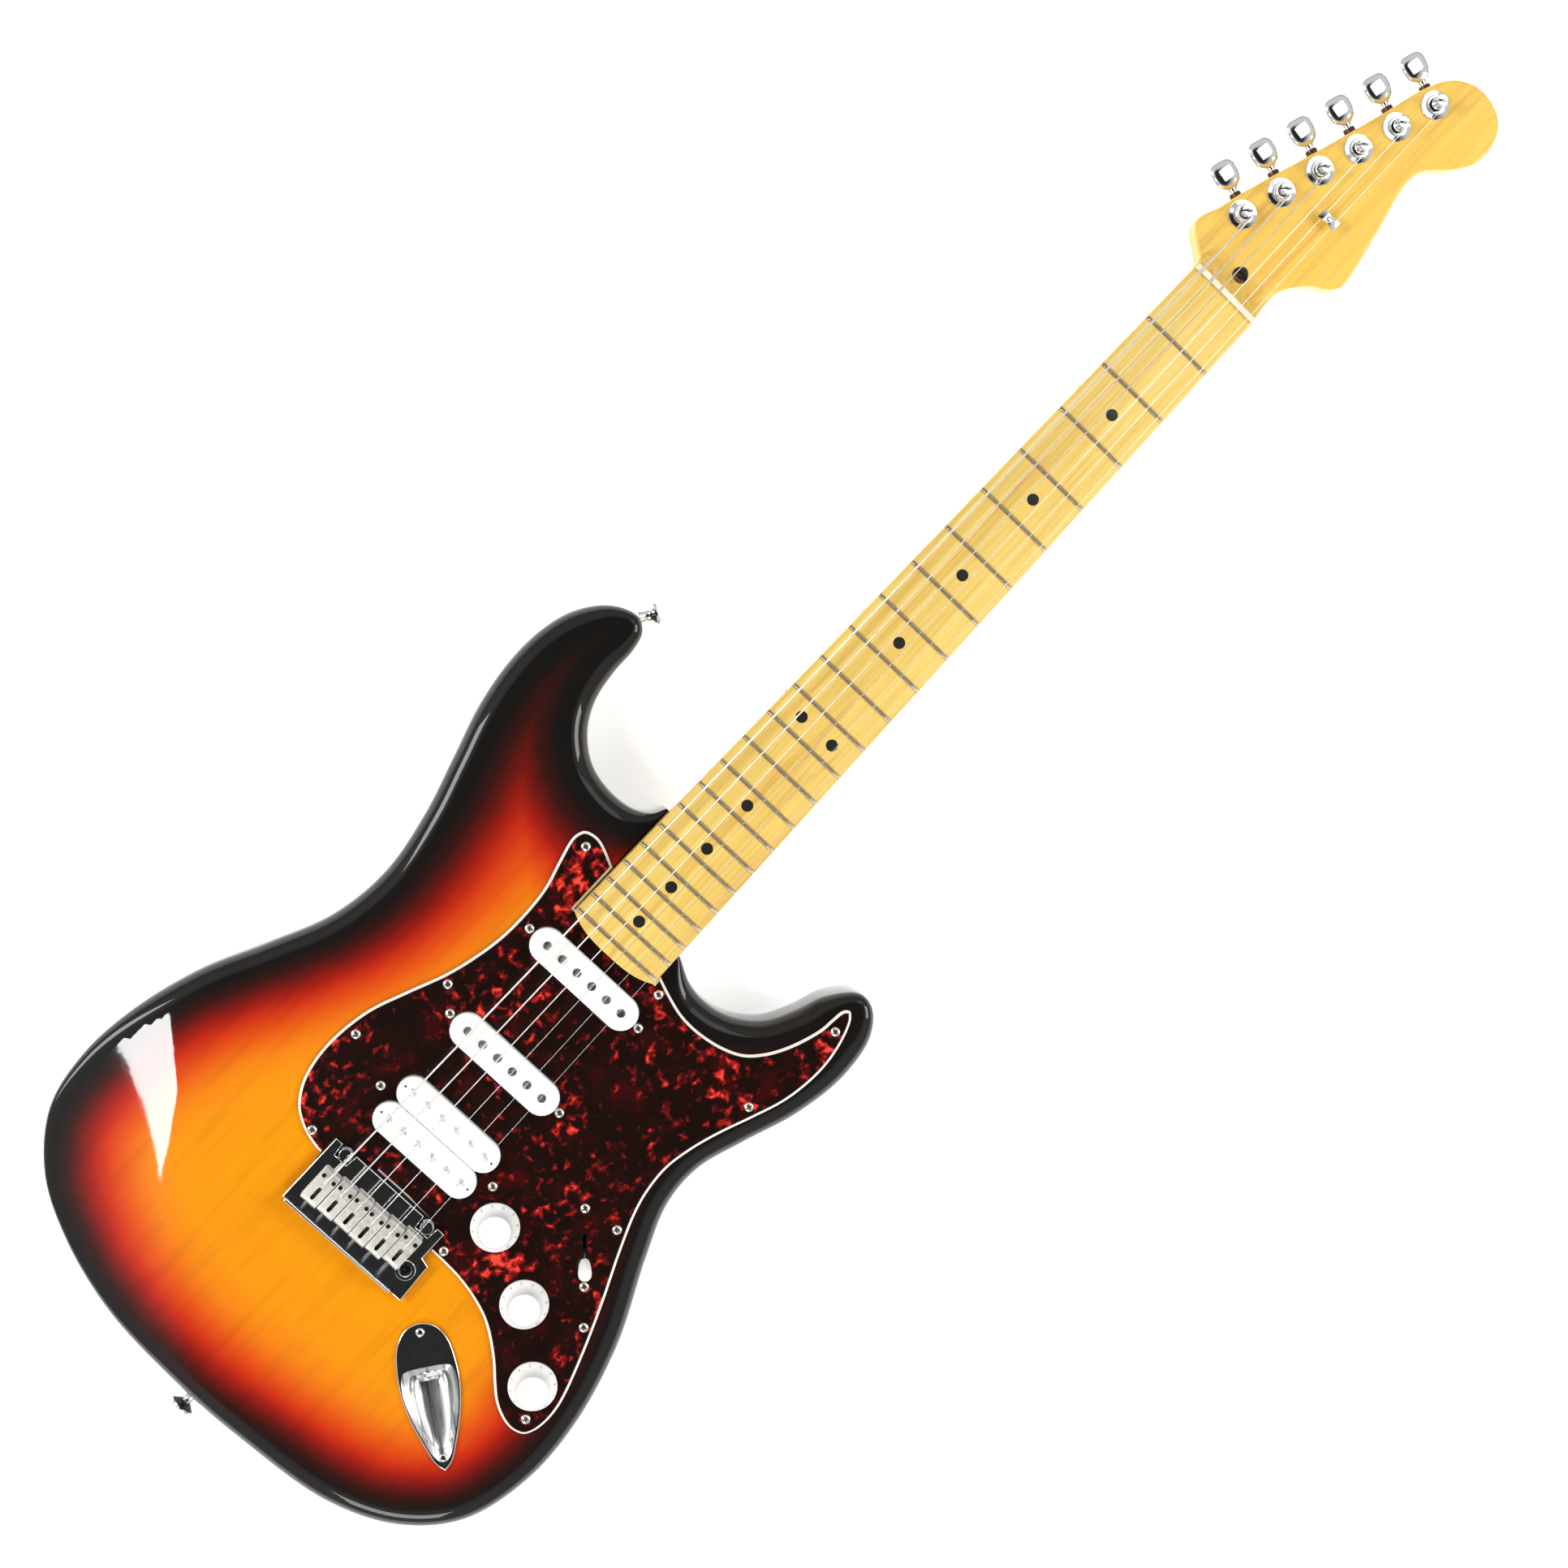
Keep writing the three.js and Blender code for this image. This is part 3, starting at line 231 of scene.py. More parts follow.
def cad_loops(node, z):
    """The outlines of a CAD node's flat face at height z, the outer one first."""
    bm = bmesh.new()
    bm.from_mesh(frame["nodes"][node].data)
    bmesh.ops.remove_doubles(bm, verts=bm.verts, dist=1e-5)
    level = z * MM
    near = 5e-5

    def is_flat(face):
        return all(abs(v.co.z - level) < near for v in face.verts)

    links = {}
    for edge in bm.edges:
        if sum(is_flat(face) for face in edge.link_faces) == 1:
            a, b = (v.index for v in edge.verts)
            links.setdefault(a, []).append(b)
            links.setdefault(b, []).append(a)
    bm.verts.ensure_lookup_table()
    place = {i: (bm.verts[i].co.x / MM, bm.verts[i].co.y / MM) for i in links}
    bm.free()
    loops = []
    left = set(links)
    while left:
        start = left.pop()
        walk = [start]
        while True:
            following = [j for j in links[walk[-1]] if j in left]
            if not following:
                break
            left.discard(following[0])
            walk.append(following[0])
        loops.append([place[i] for i in walk])
    loops.sort(key=lambda loop: -abs(area_of(loop)))
    return loops


def refined(loop, per_span=5, corner=0.85):
    """A faceted outline made smooth between its corners, or round where it is a circle."""
    n = len(loop)
    centre = sum((Vector(p) for p in loop), Vector((0, 0))) / n
    reach = [(Vector(p) - centre).length for p in loop]
    if n >= 6 and max(reach) - min(reach) < 0.02 * max(reach):
        return circle(centre.x, centre.y, max(reach))
    points = [Vector(p) for p in loop]
    sharp = []
    for i in range(n):
        before = points[i] - points[i - 1]
        after = points[(i + 1) % n] - points[i]
        if before.angle(after, 0.0) > corner:
            sharp.append(i)
    if not sharp:
        return [tuple(p) for p in curve_through(points, True, per_span)]
    made = []
    for a, b in zip(sharp, sharp[1:] + [sharp[0] + n]):
        run = [points[k % n] for k in range(a, b + 1)]
        made += curve_through(run, False, per_span)[:-1] if len(run) > 2 else run[:1]
    return [tuple(p) for p in made]


# ---------------------------------------------------------------- shapes
class Shape:
    """Vertices in millimetres, faces, and the material index of each face."""

    def __init__(self):
        self.verts = []
        self.faces = []
        self.marks = []

    def add(self, verts, faces, mark=0, place=None):
        offset = len(self.verts)
        for v in verts:
            self.verts.append(place @ Vector(v) if place is not None else Vector(v))
        for k, face in enumerate(faces):
            self.faces.append([i + offset for i in face])
            self.marks.append(mark[k] if isinstance(mark, list) else mark)
        return self

    def merge(self, other, place=None):
        return self.add(other.verts, other.faces, list(other.marks), place)


def loft(rings, mark=0, close=True):
    """Skin over rings of equal length that all run the same way."""
    n = len(rings[0])
    shape = Shape()
    verts = [v for ring in rings for v in ring]
    faces = []
    for r in range(len(rings) - 1):
        for i in range(n):
            j = (i + 1) % n
            faces.append([r * n + i, r * n + j, (r + 1) * n + j, (r + 1) * n + i])
    if close:
        faces.append(list(range(n))[::-1])
        faces.append([(len(rings) - 1) * n + i for i in range(n)])
    return shape.add(verts, faces, mark)


def slab(loops, profile, hole_profile=None, marks=None, cap_mark=0, hole_mark=None, bevel=None):
    """A plate with holes. A profile is [inset, z] pairs from its underside to its top.

    marks holds the material of each step of the walls. hole_mark replaces it in the holes, and
    where bevel is 0. bevel says how much of its inset a point of the outline gets, from 0 to 1.
    """
    shape = Shape()
    ends = ([], [])
    for number, loop in enumerate(loops):
        loop = [tuple(p[:2]) for p in loop]
        if (area_of(loop) > 0) != (number == 0):
            loop = loop[::-1]
        steps = profile if number == 0 else (hole_profile or profile)
        n = len(loop)
        inward = []
        for i in range(n):
            a, b, c = Vector(loop[i - 1]), Vector(loop[i]), Vector(loop[(i + 1) % n])
            u, v = (b - a).normalized(), (c - b).normalized()
            bend = (u + v).normalized() if (u + v).length > 1e-6 else u
            stretch = 1 / max(0.5, bend.dot(u))
            inward.append(Vector((-bend.y, bend.x)) * stretch)
        verts = []
        faces = []
        face_marks = []
        for inset, z in steps:
            for p, way in zip(loop, inward):
                reach = inset * bevel(*p) if bevel and number == 0 else inset
                verts.append((p[0] + way.x * reach, p[1] + way.y * reach, z))
        for r in range(len(steps) - 1):
            for i in range(n):
                j = (i + 1) % n
                faces.append([r * n + i, r * n + j, (r + 1) * n + j, (r + 1) * n + i])
                straight = number > 0 or (bevel and bevel(*loop[i]) == 0)
                cut = hole_mark is not None and straight
                face_marks.append(hole_mark if cut else marks[r] if marks else 0)
        offset = len(shape.verts)
        shape.add(verts, faces, face_marks)
        ends[0].append([offset + i for i in range(n)])
        ends[1].append([offset + (len(steps) - 1) * n + i for i in range(n)])
    for up, rings in enumerate(ends):
        flat = [[Vector((shape.verts[i].x, shape.verts[i].y, 0)) for i in ring] for ring in rings]
        index = [i for ring in rings for i in ring]
        for tri in geometry.tessellate_polygon(flat):
            a, b, c = (shape.verts[index[k]] for k in tri)
            turn = (b - a).cross(c - a).z
            if abs(turn) < 1e-9:
                continue
            corners = [index[k] for k in tri]
            shape.faces.append(corners if (turn > 0) == bool(up) else corners[::-1])
            shape.marks.append(cap_mark)
    return shape


def rounded(z0, z1, r_low, r_high, steps=4):
    """A slab profile with quarter-round edges."""
    profile = []
    for k in range(steps + 1):
        a = TAU / 4 * k / steps
        profile.append((r_low * (1 - math.sin(a)), z0 + r_low * (1 - math.cos(a))))
    for k in range(steps + 1):
        a = TAU / 4 * k / steps
        profile.append((r_high * (1 - math.cos(a)), z1 - r_high * (1 - math.sin(a))))
    return profile


def spun(profile, steps=32, place=None, mark=0):
    """A turned shape about Z from [radius, z] pairs that start and end on the axis or close."""
    shape = Shape()
    verts = []
    rings = []
    for r, z in profile:
        if r < 1e-6:
            rings.append([len(verts)])
            verts.append((0, 0, z))
        else:
            rings.append(list(range(len(verts), len(verts) + steps)))
            verts += [(r * math.cos(TAU * k / steps), r * math.sin(TAU * k / steps), z)
                      for k in range(steps)]
    faces = []
    closed = len(rings[0]) > 1
    pairs = list(zip(rings, rings[1:])) + ([(rings[-1], rings[0])] if closed else [])
    for low, high in pairs:
        for k in range(steps):
            j = (k + 1) % steps
            corners = [low[k % len(low)], low[j % len(low)], high[j % len(high)],
                       high[k % len(high)]]
            face = list(dict.fromkeys(corners))
            if len(face) > 2:
                faces.append(face)
    return shape.add(verts, faces, mark, place)


def rod(r, z0, z1, steps, place, mark=0):
    return spun([(0, z0), (r, z0), (r, z1), (0, z1)], steps, place, mark)


def block(x0, x1, y0, y1, z0, z1, edge=0.0, mark=0):
    """A box with softened edges."""
    if not edge:
        return slab([[(x0, y0), (x1, y0), (x1, y1), (x0, y1)]], [(0, z0), (0, z1)],
                    marks=[mark], cap_mark=mark)
    return slab([rounded_box(x0, x1, y0, y1, edge, 2)], rounded(z0, z1, edge, edge, 2),
                marks=[mark] * 5, cap_mark=mark)


def tube(points, radius, sides):
    """A round bar along points in space."""
    points = [Vector(p) for p in points]
    rings = []
    across = None
    for i, p in enumerate(points):
        way = (points[min(i + 1, len(points) - 1)] - points[max(i - 1, 0)]).normalized()
        if across is None:
            across = way.orthogonal().normalized()
        across = (across - way * across.dot(way)).normalized()
        up = way.cross(across)
        rings.append([p + (across * math.cos(TAU * k / sides) + up * math.sin(TAU * k / sides))
                      * radius for k in range(sides)])
    return loft(rings)


def aimed(origin, axis):
    turn = Vector((0, 0, 1)).rotation_difference(Vector(axis)).to_matrix().to_4x4()
    return Matrix.Translation(Vector(origin)) @ turn


def at(x, y, z=0.0, turn=0.0):
    return Matrix.Translation(Vector((x, y, z))) @ Matrix.Rotation(turn, 4, "Z")


def mesh_object(name, shape, materials):
    mesh = bpy.data.meshes.new(name)
    mesh.from_pydata([v * MM for v in shape.verts], [], shape.faces)
    for material in materials:
        mesh.materials.append(material)
    mesh.polygons.foreach_set("material_index", shape.marks)
    bm = bmesh.new()
    bm.from_mesh(mesh)
    bmesh.ops.recalc_face_normals(bm, faces=bm.faces)
    bm.to_mesh(mesh)
    bm.free()
    made = bpy.data.objects.new(name, mesh)
    bpy.context.scene.collection.objects.link(made)
    return made


def boolean(made, shape, operation="DIFFERENCE", overlapping=False):
    """Cuts a shape out of an object, or joins it on, and keeps the result as the object's mesh."""
    tool = mesh_object("tool", shape, list(made.data.materials))
    change = made.modifiers.new("boolean", "BOOLEAN")
    change.operation = operation
    change.solver = "EXACT" if overlapping else "MANIFOLD"
    change.use_self = overlapping
    change.object = tool
    graph = bpy.context.evaluated_depsgraph_get()
    result = bpy.data.meshes.new_from_object(made.evaluated_get(graph))
    made.modifiers.remove(change)
    old = made.data
    made.data = result
    bpy.data.meshes.remove(old)
    bpy.data.objects.remove(tool)
    return made


def settle(made, body, replaced=(), sharp=34, weighted=True):
    """Shading and body of a new piece, and hides the CAD nodes it replaces."""
    mesh = made.data
    mesh.shade_smooth()
    mesh.set_sharp_from_angle(angle=math.radians(sharp))
    if weighted:
        normals = made.modifiers.new("flat faces stay flat", "WEIGHTED_NORMAL")
        normals.keep_sharp = True
    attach(made, body)
    if replaced:
        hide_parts(*replaced)
    return made


def piece(name, shape, materials, body, replaced=(), cutters=None, sharp=34, weighted=True):
    materials = materials if isinstance(materials, list) else [materials]
    made = mesh_object(name, shape, materials)
    if cutters is not None:
        boolean(made, cutters, overlapping=True)
    return settle(made, body, replaced, sharp, weighted)


# ---------------------------------------------------------------- materials
class Look:
    """A node material around one Principled shader. Coordinates are the piece's own, in metres."""

    def __init__(self, name, color, roughness, **sockets):
        self.material = bpy.data.materials.new(name)
        self.material.use_nodes = True
        self.tree = self.material.node_tree
        self.shader = self.tree.nodes["Principled BSDF"]
        self.set("Base Color", (*color, 1))
        self.set("Roughness", roughness)
        for socket, value in sockets.items():
            self.set(socket.replace("_", " ").title().replace("Ior", "IOR"), value)
        self.place = self.node("ShaderNodeTexCoord").outputs["Object"]

    def set(self, socket, value):
        self.shader.inputs[socket].default_value = value

    def node(self, kind, **settings):
        made = self.tree.nodes.new(kind)
        for name, value in settings.items():
            setattr(made, name, value)
        return made

    def link(self, output, target):
        self.tree.links.new(output, target)

    def to(self, socket, output):
        self.link(output, self.shader.inputs[socket])

    def stretched(self, scale, turn=0.0):
        """Coordinates scaled along the piece's axes, or along axes turned about Z."""
        made = self.node("ShaderNodeMapping", vector_type="TEXTURE")
        made.inputs["Rotation"].default_value = (0, 0, turn)
        made.inputs["Scale"].default_value = [1 / s for s in scale]
        self.link(self.place, made.inputs["Vector"])
        return made.outputs["Vector"]

    def noise(self, scale, detail=4.0, rough=0.55, distortion=0.0, stretch=None, turn=0.0):
        made = self.node("ShaderNodeTexNoise")
        made.inputs["Scale"].default_value = scale
        made.inputs["Detail"].default_value = detail
        made.inputs["Roughness"].default_value = rough
        made.inputs["Distortion"].default_value = distortion
        place = self.stretched(stretch, turn) if stretch else self.place
        self.link(place, made.inputs["Vector"])
        return made.outputs["Fac"]

    def wave(self, scale):
        made = self.node("ShaderNodeTexWave", bands_direction="X")
        made.inputs["Scale"].default_value = scale
        self.link(self.place, made.inputs["Vector"])
        return made.outputs["Fac"]

    def ramp(self, fac, stops):
        made = self.node("ShaderNodeValToRGB")
        elements = made.color_ramp.elements
        while len(elements) < len(stops):
            elements.new(0.5)
        for element, (position, color) in zip(elements, stops):
            element.position = position
            element.color = (*color, 1) if hasattr(color, "__len__") else (color,) * 3 + (1,)
        self.link(fac, made.inputs["Fac"])
        return made.outputs["Color"]

    def mix(self, fac, a, b, mode="MIX"):
        made = self.node("ShaderNodeMix", data_type="RGBA", blend_type=mode)
        for value, index in ((fac, 0), (a, 6), (b, 7)):
            socket = made.inputs[index]
            if isinstance(value, bpy.types.NodeSocket):
                self.link(value, socket)
            else:
                socket.default_value = value
        return made.outputs[2]

    def math(self, operation, a, b):
        made = self.node("ShaderNodeMath", operation=operation)
        for value, socket in ((a, made.inputs[0]), (b, made.inputs[1])):
            if isinstance(value, bpy.types.NodeSocket):
                self.link(value, socket)
            else:
                socket.default_value = value
        return made.outputs[0]

    def bump(self, height, strength, distance, target="Normal"):
        made = self.node("ShaderNodeBump")
        made.inputs["Strength"].default_value = strength
        made.inputs["Distance"].default_value = distance
        self.link(height, made.inputs["Height"])
        self.to(target, made.outputs["Normal"])

    def vary_roughness(self, low, high, scale, stretch=None):
        grain = self.noise(scale, 5, stretch=stretch)
        self.to("Roughness", self.ramp(grain, [(0.35, low), (0.65, high)]))


BURST = [  # distance from the edge in decimetres, and the colour there
    (0.00, (0.0045, 0.0045, 0.0040)),
    (0.11, (0.0060, 0.0045, 0.0035)),
    (0.17, (0.030, 0.0045, 0.0030)),
    (0.22, (0.110, 0.0050, 0.0030)),
    (0.28, (0.290, 0.0090, 0.0035)),
    (0.34, (0.500, 0.0250, 0.0040)),
    (0.42, (0.620, 0.0720, 0.0045)),
    (0.55, (0.720, 0.1900, 0.0050)),
    (0.68, (0.750, 0.2500, 0.0040)),
    (1.00, (0.755, 0.2680, 0.0020)),
]


def sunburst_look():
    look = Look("sunburst_lacquer", (0.9, 0.3, 0.01), 0.5, specular_ior_level=0.06,
                coat_weight=1.0, coat_roughness=0.03, coat_ior=1.38)
    burst = look.node("ShaderNodeAttribute", attribute_name="burst").outputs["Fac"]
    spray = look.noise(45, 3)
    edge = look.math("ADD", burst, look.math("MULTIPLY", look.math("SUBTRACT", spray, 0.5), 0.03))
    color = look.ramp(edge, BURST)
    grain = look.noise(30, 8, 0.6, 0.4, stretch=(0.35, 5.0, 5.0))
    figure = look.ramp(grain, [(0.35, 0.88), (0.5, 0.97), (0.7, 1.0)])
    look.to("Base Color", look.mix(1.0, color, figure, "MULTIPLY"))
    look.bump(look.noise(90, 2), 0.04, 0.0004, "Coat Normal")
    return look.material


def maple_look():
    """Varnished maple, paler on the played board than on the headstock."""
    look = Look("amber_maple", (0.85, 0.55, 0.17), 0.38, specular_ior_level=0.3, coat_weight=0.7,
                coat_roughness=0.10, coat_ior=1.45)
    grain = look.noise(60, 9, 0.62, 0.6, stretch=(0.10, 2.2, 2.2))
    fine = look.noise(420, 6, 0.6, 0.2, stretch=(0.05, 1.6, 1.6))
    stops = [(0.28, (0.62, 0.330, 0.075)), (0.42, (0.78, 0.515, 0.125)),
             (0.60, (0.85, 0.595, 0.160)), (0.74, (0.76, 0.480, 0.115))]
    color = look.ramp(grain, stops)
    streak = look.ramp(fine, [(0.38, 0.90), (0.55, 1.0)])
    color = look.mix(1.0, color, streak, "MULTIPLY")
    split = look.node("ShaderNodeSeparateXYZ")
    look.link(look.place, split.inputs[0])
    amber = look.ramp(split.outputs["X"], [(0.62, (0.98, 1.0, 1.0)), (0.68, (1.0, 0.90, 0.45))])
    look.to("Base Color", look.mix(1.0, color, amber, "MULTIPLY"))
    look.bump(fine, 0.05, 0.0003)
    return look.material


def walnut_look():
    look = Look("dark_walnut", (0.07, 0.025, 0.012), 0.4, coat_weight=0.5, coat_roughness=0.15)
    grain = look.noise(160, 8, 0.65, 0.8, stretch=(0.12, 2.0, 2.0))
    look.to("Base Color", look.ramp(grain, [(0.3, (0.025, 0.009, 0.006)),
                                            (0.7, (0.12, 0.045, 0.022))]))
    return look.material


def tortoise_look():
    look = Look("tortoise_celluloid", (0.02, 0.004, 0.005), 0.3, specular_ior_level=0.1,
                coat_weight=0.8, coat_roughness=0.05, coat_ior=1.36)
    clusters = look.noise(18, 2, 0.5, 0.4)
    flakes = look.noise(190, 3, 0.5, 0.3)
    mottle = look.noise(60, 4, 0.6, 0.5)
    gathered = look.math("MULTIPLY", look.math("SUBTRACT", clusters, 0.5), 0.5)
    level = look.math("ADD", flakes, gathered)
    ground = look.ramp(mottle, [(0.38, (0.0070, 0.0030, 0.0020)), (0.55, (0.0120, 0.0030, 0.0020)),
                                (0.72, (0.040, 0.0026, 0.0024))])
    flake = look.ramp(level, [(0.56, (0.0, 0.0, 0.0)), (0.63, (0.075, 0.0020, 0.0030)),
                              (0.69, (0.34, 0.0090, 0.0080)), (0.76, (0.78, 0.0600, 0.0300))])
    look.to("Base Color", look.mix(1.0, ground, flake, "ADD"))
    return look.material


def plastic_look(name, color, shade, roughness=0.3):
    look = Look(name, color, roughness, coat_weight=0.25, coat_roughness=0.1,
                subsurface_weight=0.04, subsurface_scale=0.002)
    haze = look.noise(70, 4)
    look.to("Base Color", look.ramp(haze, [(0.3, shade), (0.7, color)]))
    look.bump(look.noise(900, 3), 0.04, 0.0002)
    return look.material


def metal_look(name, color, low, high, scale=220, stretch=None, bump=0.0):
    look = Look(name, color, low, metallic=1.0)
    look.vary_roughness(low, high, scale, stretch)
    if bump:
        look.bump(look.noise(scale * 3, 4, stretch=stretch), bump, 0.0002)
    return look.material


def dish_look():
    """Pressed chrome whose colour holds painted reflection: dark and bright streaks running along the
    jack plate.
    """
    look = Look("dish_painted_reflections", (0.95, 0.94, 0.90), 0.16, metallic=1.0)
    along = math.atan2(JACK_ALONG.y, JACK_ALONG.x)
    bands = look.noise(120, 3, stretch=(0.05, 2.4, 0.3), turn=along)
    # The dark, grey and white stops are painted reflection of the studio, not marks of the press.
    look.to("Base Color", look.ramp(bands, [(0.38, (0.18, 0.20, 0.21)), (0.45, (0.60, 0.61, 0.60)),
                                            (0.53, (0.97, 0.96, 0.93))]))
    look.to("Roughness", look.ramp(bands, [(0.4, 0.30), (0.6, 0.14)]))
    return look.material


def wound_look(name, per_metre):
    look = Look(name, (0.72, 0.70, 0.66), 0.34, metallic=1.0)
    turns = look.wave(per_metre)
    look.to("Base Color", look.ramp(turns, [(0.0, (0.48, 0.46, 0.42)), (0.6, (0.88, 0.86, 0.82))]))
    look.bump(turns, 0.25, 0.0002)
    return look.material


SUNBURST = sunburst_look()
MAPLE = maple_look()
WALNUT = walnut_look()
TORTOISE = tortoise_look()
WHITE = plastic_look("white_plastic", (0.945, 0.94, 0.91), (0.90, 0.89, 0.85))
PLY_WHITE = plastic_look("white_ply", (0.90, 0.88, 0.82), (0.82, 0.79, 0.72), 0.35)
PLY_BLACK = plastic_look("black_ply", (0.012, 0.011, 0.011), (0.008, 0.008, 0.008), 0.35)
CREAM = plastic_look("bone_nut", (0.86, 0.80, 0.60), (0.78, 0.70, 0.48), 0.42)
INK = plastic_look("grey_print", (0.42, 0.42, 0.41), (0.36, 0.36, 0.35), 0.5)
# Black paint in the routs, also used as painted shade under the bridge plate's front and inside the
# truss rod hole.
CAVITY_PAINT_AND_SHADE = plastic_look("cavity_paint_and_painted_shade", (0.018, 0.017, 0.016), (0.010, 0.010, 0.010), 0.7)
CHROME = metal_look("chrome_plate", (0.86, 0.87, 0.88), 0.04, 0.10)
# The frets' dark grey-brown colour is painted reflection of the maple board in silvery fret wire.
FRET_METAL_BOARD_REFLECTION = metal_look("fret_wire", (0.42, 0.35, 0.26), 0.20, 0.28, 300)
SATIN = metal_look("satin_saddle_steel", (0.87, 0.84, 0.77), 0.34, 0.46, 700, bump=0.06)
STEEL = metal_look("plain_steel", (0.60, 0.59, 0.57), 0.24, 0.38, 260, (0.3, 2, 2), 0.05)
POLE = metal_look("pole_steel", (0.50, 0.49, 0.48), 0.22, 0.36, 500)
BLACK_STEEL = metal_look("black_screw", (0.10, 0.10, 0.10), 0.3, 0.42, 300)
# Near-black steel for the walls of the saddle slots and screw holes: painted shade in the recesses.
SLOT_SHADE_STEEL = metal_look("slot_wall_painted_shade", (0.13, 0.11, 0.09), 0.5, 0.65, 300)
PALE_POLE = metal_look("pale_pole", (0.76, 0.75, 0.73), 0.46, 0.56, 500)
# Dark brown on the chrome tuner collars is painted shadow and painted reflection of the wooden
# headstock.
COLLAR_WOOD_REFLECTION_PAINT = metal_look("collar_painted_wood_reflection", (0.11, 0.055, 0.032), 0.30, 0.45, 300)
SCREW = metal_look("nickel_screw", (0.76, 0.72, 0.65), 0.16, 0.26, 400)
DISH_REFLECTION_PAINT = dish_look()
PLAIN_STRING = metal_look("plain_string", (0.86, 0.85, 0.82), 0.26, 0.34, 500)
WOUND = [wound_look(f"wound_string_{k + 1}", 1 / (r * MM)) for k, r in enumerate(STRING_R[:3])]


# ---------------------------------------------------------------- body
RIM = [
    (251, 28.9), (244, 32.7), (239, 41), (237.5, 56), (241.5, 72.5), (253, 86.5), (267, 94),
    (284, 97), (300, 97.7), (309.5, 100.5), (314, 107), (313, 114.5), (306.5, 125), (292.5, 135),
    (275, 140), (253, 141), (225, 137), (193.5, 127.5), (163, 118.5), (127, 113), (93, 117.5),
    (59.5, 132), (26, 148), (-13, 159), (-46.5, 161.8), (-78, 155.5), (-105, 134.5),
    (-123, 103.5), (-136, 61.5), (-140.7, 9), (-140.5, -33.5), (-135.3, -90), (-120, -126.7),
    (-95, -150.7), (-58, -161), (-19, -159.5), (26, -147.5), (70.5, -126.7), (98.7, -115.6),
    (123, -114.6), (149, -122.7), (179.5, -133.6), (210.7, -138.6), (235, -135), (248, -124.5),
    (249.5, -114), (236, -101.5), (219.5, -95), (204, -86), (193.5, -71), (190.4, -56.5),
    (192, -44), (198.5, -30.5),
]
HEEL_END = [(199.5, -28), (220, -28), (242, -28), (248, -25.5), (251, -19), (251.6, 5)]
BASS_CORNER = (251, 28)
TREBLE_CORNER = (199, -28)
HORN_TIPS = [(312, 108), (248, -118)]
EDGE_R = 11
CUT_EDGE_R = 2.6
RIM_STEPS = 8
GRID = 3.6

# A contour falls from its middle on the rim: along is the rim's direction there in plan.
FOREARM = {"middle": (-92, 147), "along": 0.765, "slope": 0.150, "bend": 0, "deep": 10.9}
BELLY = {"middle": (112, 113), "along": -0.05, "slope": 0.36, "bend": 1 / 210, "deep": 15}


def scooped(contour, x, y):
    """How far a contour lowers the surface, softened where it starts."""
    out = Vector((-math.sin(contour["along"]), math.cos(contour["along"])))
    offset = Vector((x, y)) - Vector(contour["middle"])
    outward = offset.dot(out)
    sideways = offset.cross(out)
    depth = (contour["deep"] + math.tan(contour["slope"]) * outward
             - contour["bend"] * sideways * sideways / 2)
    soft = 0.9
    return soft * math.log1p(math.exp(min(depth / soft, 40)))


def face_z(x, y):
    return FACE - scooped(FOREARM, x, y)


def back_z(x, y):
    return BACK + scooped(BELLY, x, y)


def cut_radius(radius, contour, x, y):
    """What is left of the rim's radius where a contour has cut part of it away."""
    return min(radius, max(CUT_EDGE_R, radius - 0.8 * scooped(contour, x, y)))


def edge_radius(x, y):
    corner = min((Vector((x, y)) - Vector(c)).length for c in (BASS_CORNER, TREBLE_CORNER))
    tip = min((Vector((x, y)) - Vector(t)).length for t in HORN_TIPS)
    if abs(y) < 28.8 and x > 195:
        return 1.0
    return min(1 + (EDGE_R - 1) * min(1, corner / 22), 5 + tip / 5)


def body_outline():
    return [tuple(p) for p in curve_through(RIM, False, 9)] + HEEL_END


def body_shape(outline):
    """Round rims as strips, and a fine grid on the face and the back."""
    n = len(outline)
    inward = []
    for i in range(n):
        way = (Vector(outline[(i + 1) % n]) - Vector(outline[i - 1])).normalized()
        inward.append(Vector((-way.y, way.x)))
    radius = [edge_radius(*p) for p in outline]
    for _ in range(6):
        radius = [(radius[i - 1] + 2 * radius[i] + radius[(i + 1) % n]) / 4 for i in range(n)]
    rings = []
    for side, contour in ((0, BELLY), (1, FOREARM)):
        for k in range(RIM_STEPS + 1):
            turn = TAU / 4 * (RIM_STEPS - k if side == 0 else k) / RIM_STEPS
            ring = []
            for p, way, full in zip(outline, inward, radius):
                r = cut_radius(full, contour, *p)
                inset = 0.08 + r * (1 - math.cos(turn))
                fall = r * (1 - math.sin(turn))
                x, y = p[0] + way.x * inset, p[1] + way.y * inset
                z = face_z(x, y) - fall if side else back_z(x, y) + fall
                ring.append((x, y, z))
            rings.append(ring)
    shape = loft(rings, close=False)
    for ring, height, up in ((rings[0], back_z, False), (rings[-1], face_z, True)):
        flat = [Vector((x, y)) for x, y, _ in ring]
        inside = grid_inside(flat)
        points = flat + inside
        edges = [(i, (i + 1) % n) for i in range(n)]
        made = geometry.delaunay_2d_cdt(points, edges, [], 1, 1e-5)
        verts = [(p.x, p.y, height(p.x, p.y)) for p in made[0]]
        faces = [list(f) if up else list(f)[::-1] for f in made[2]]
        shape.add(verts, faces)
    return shape


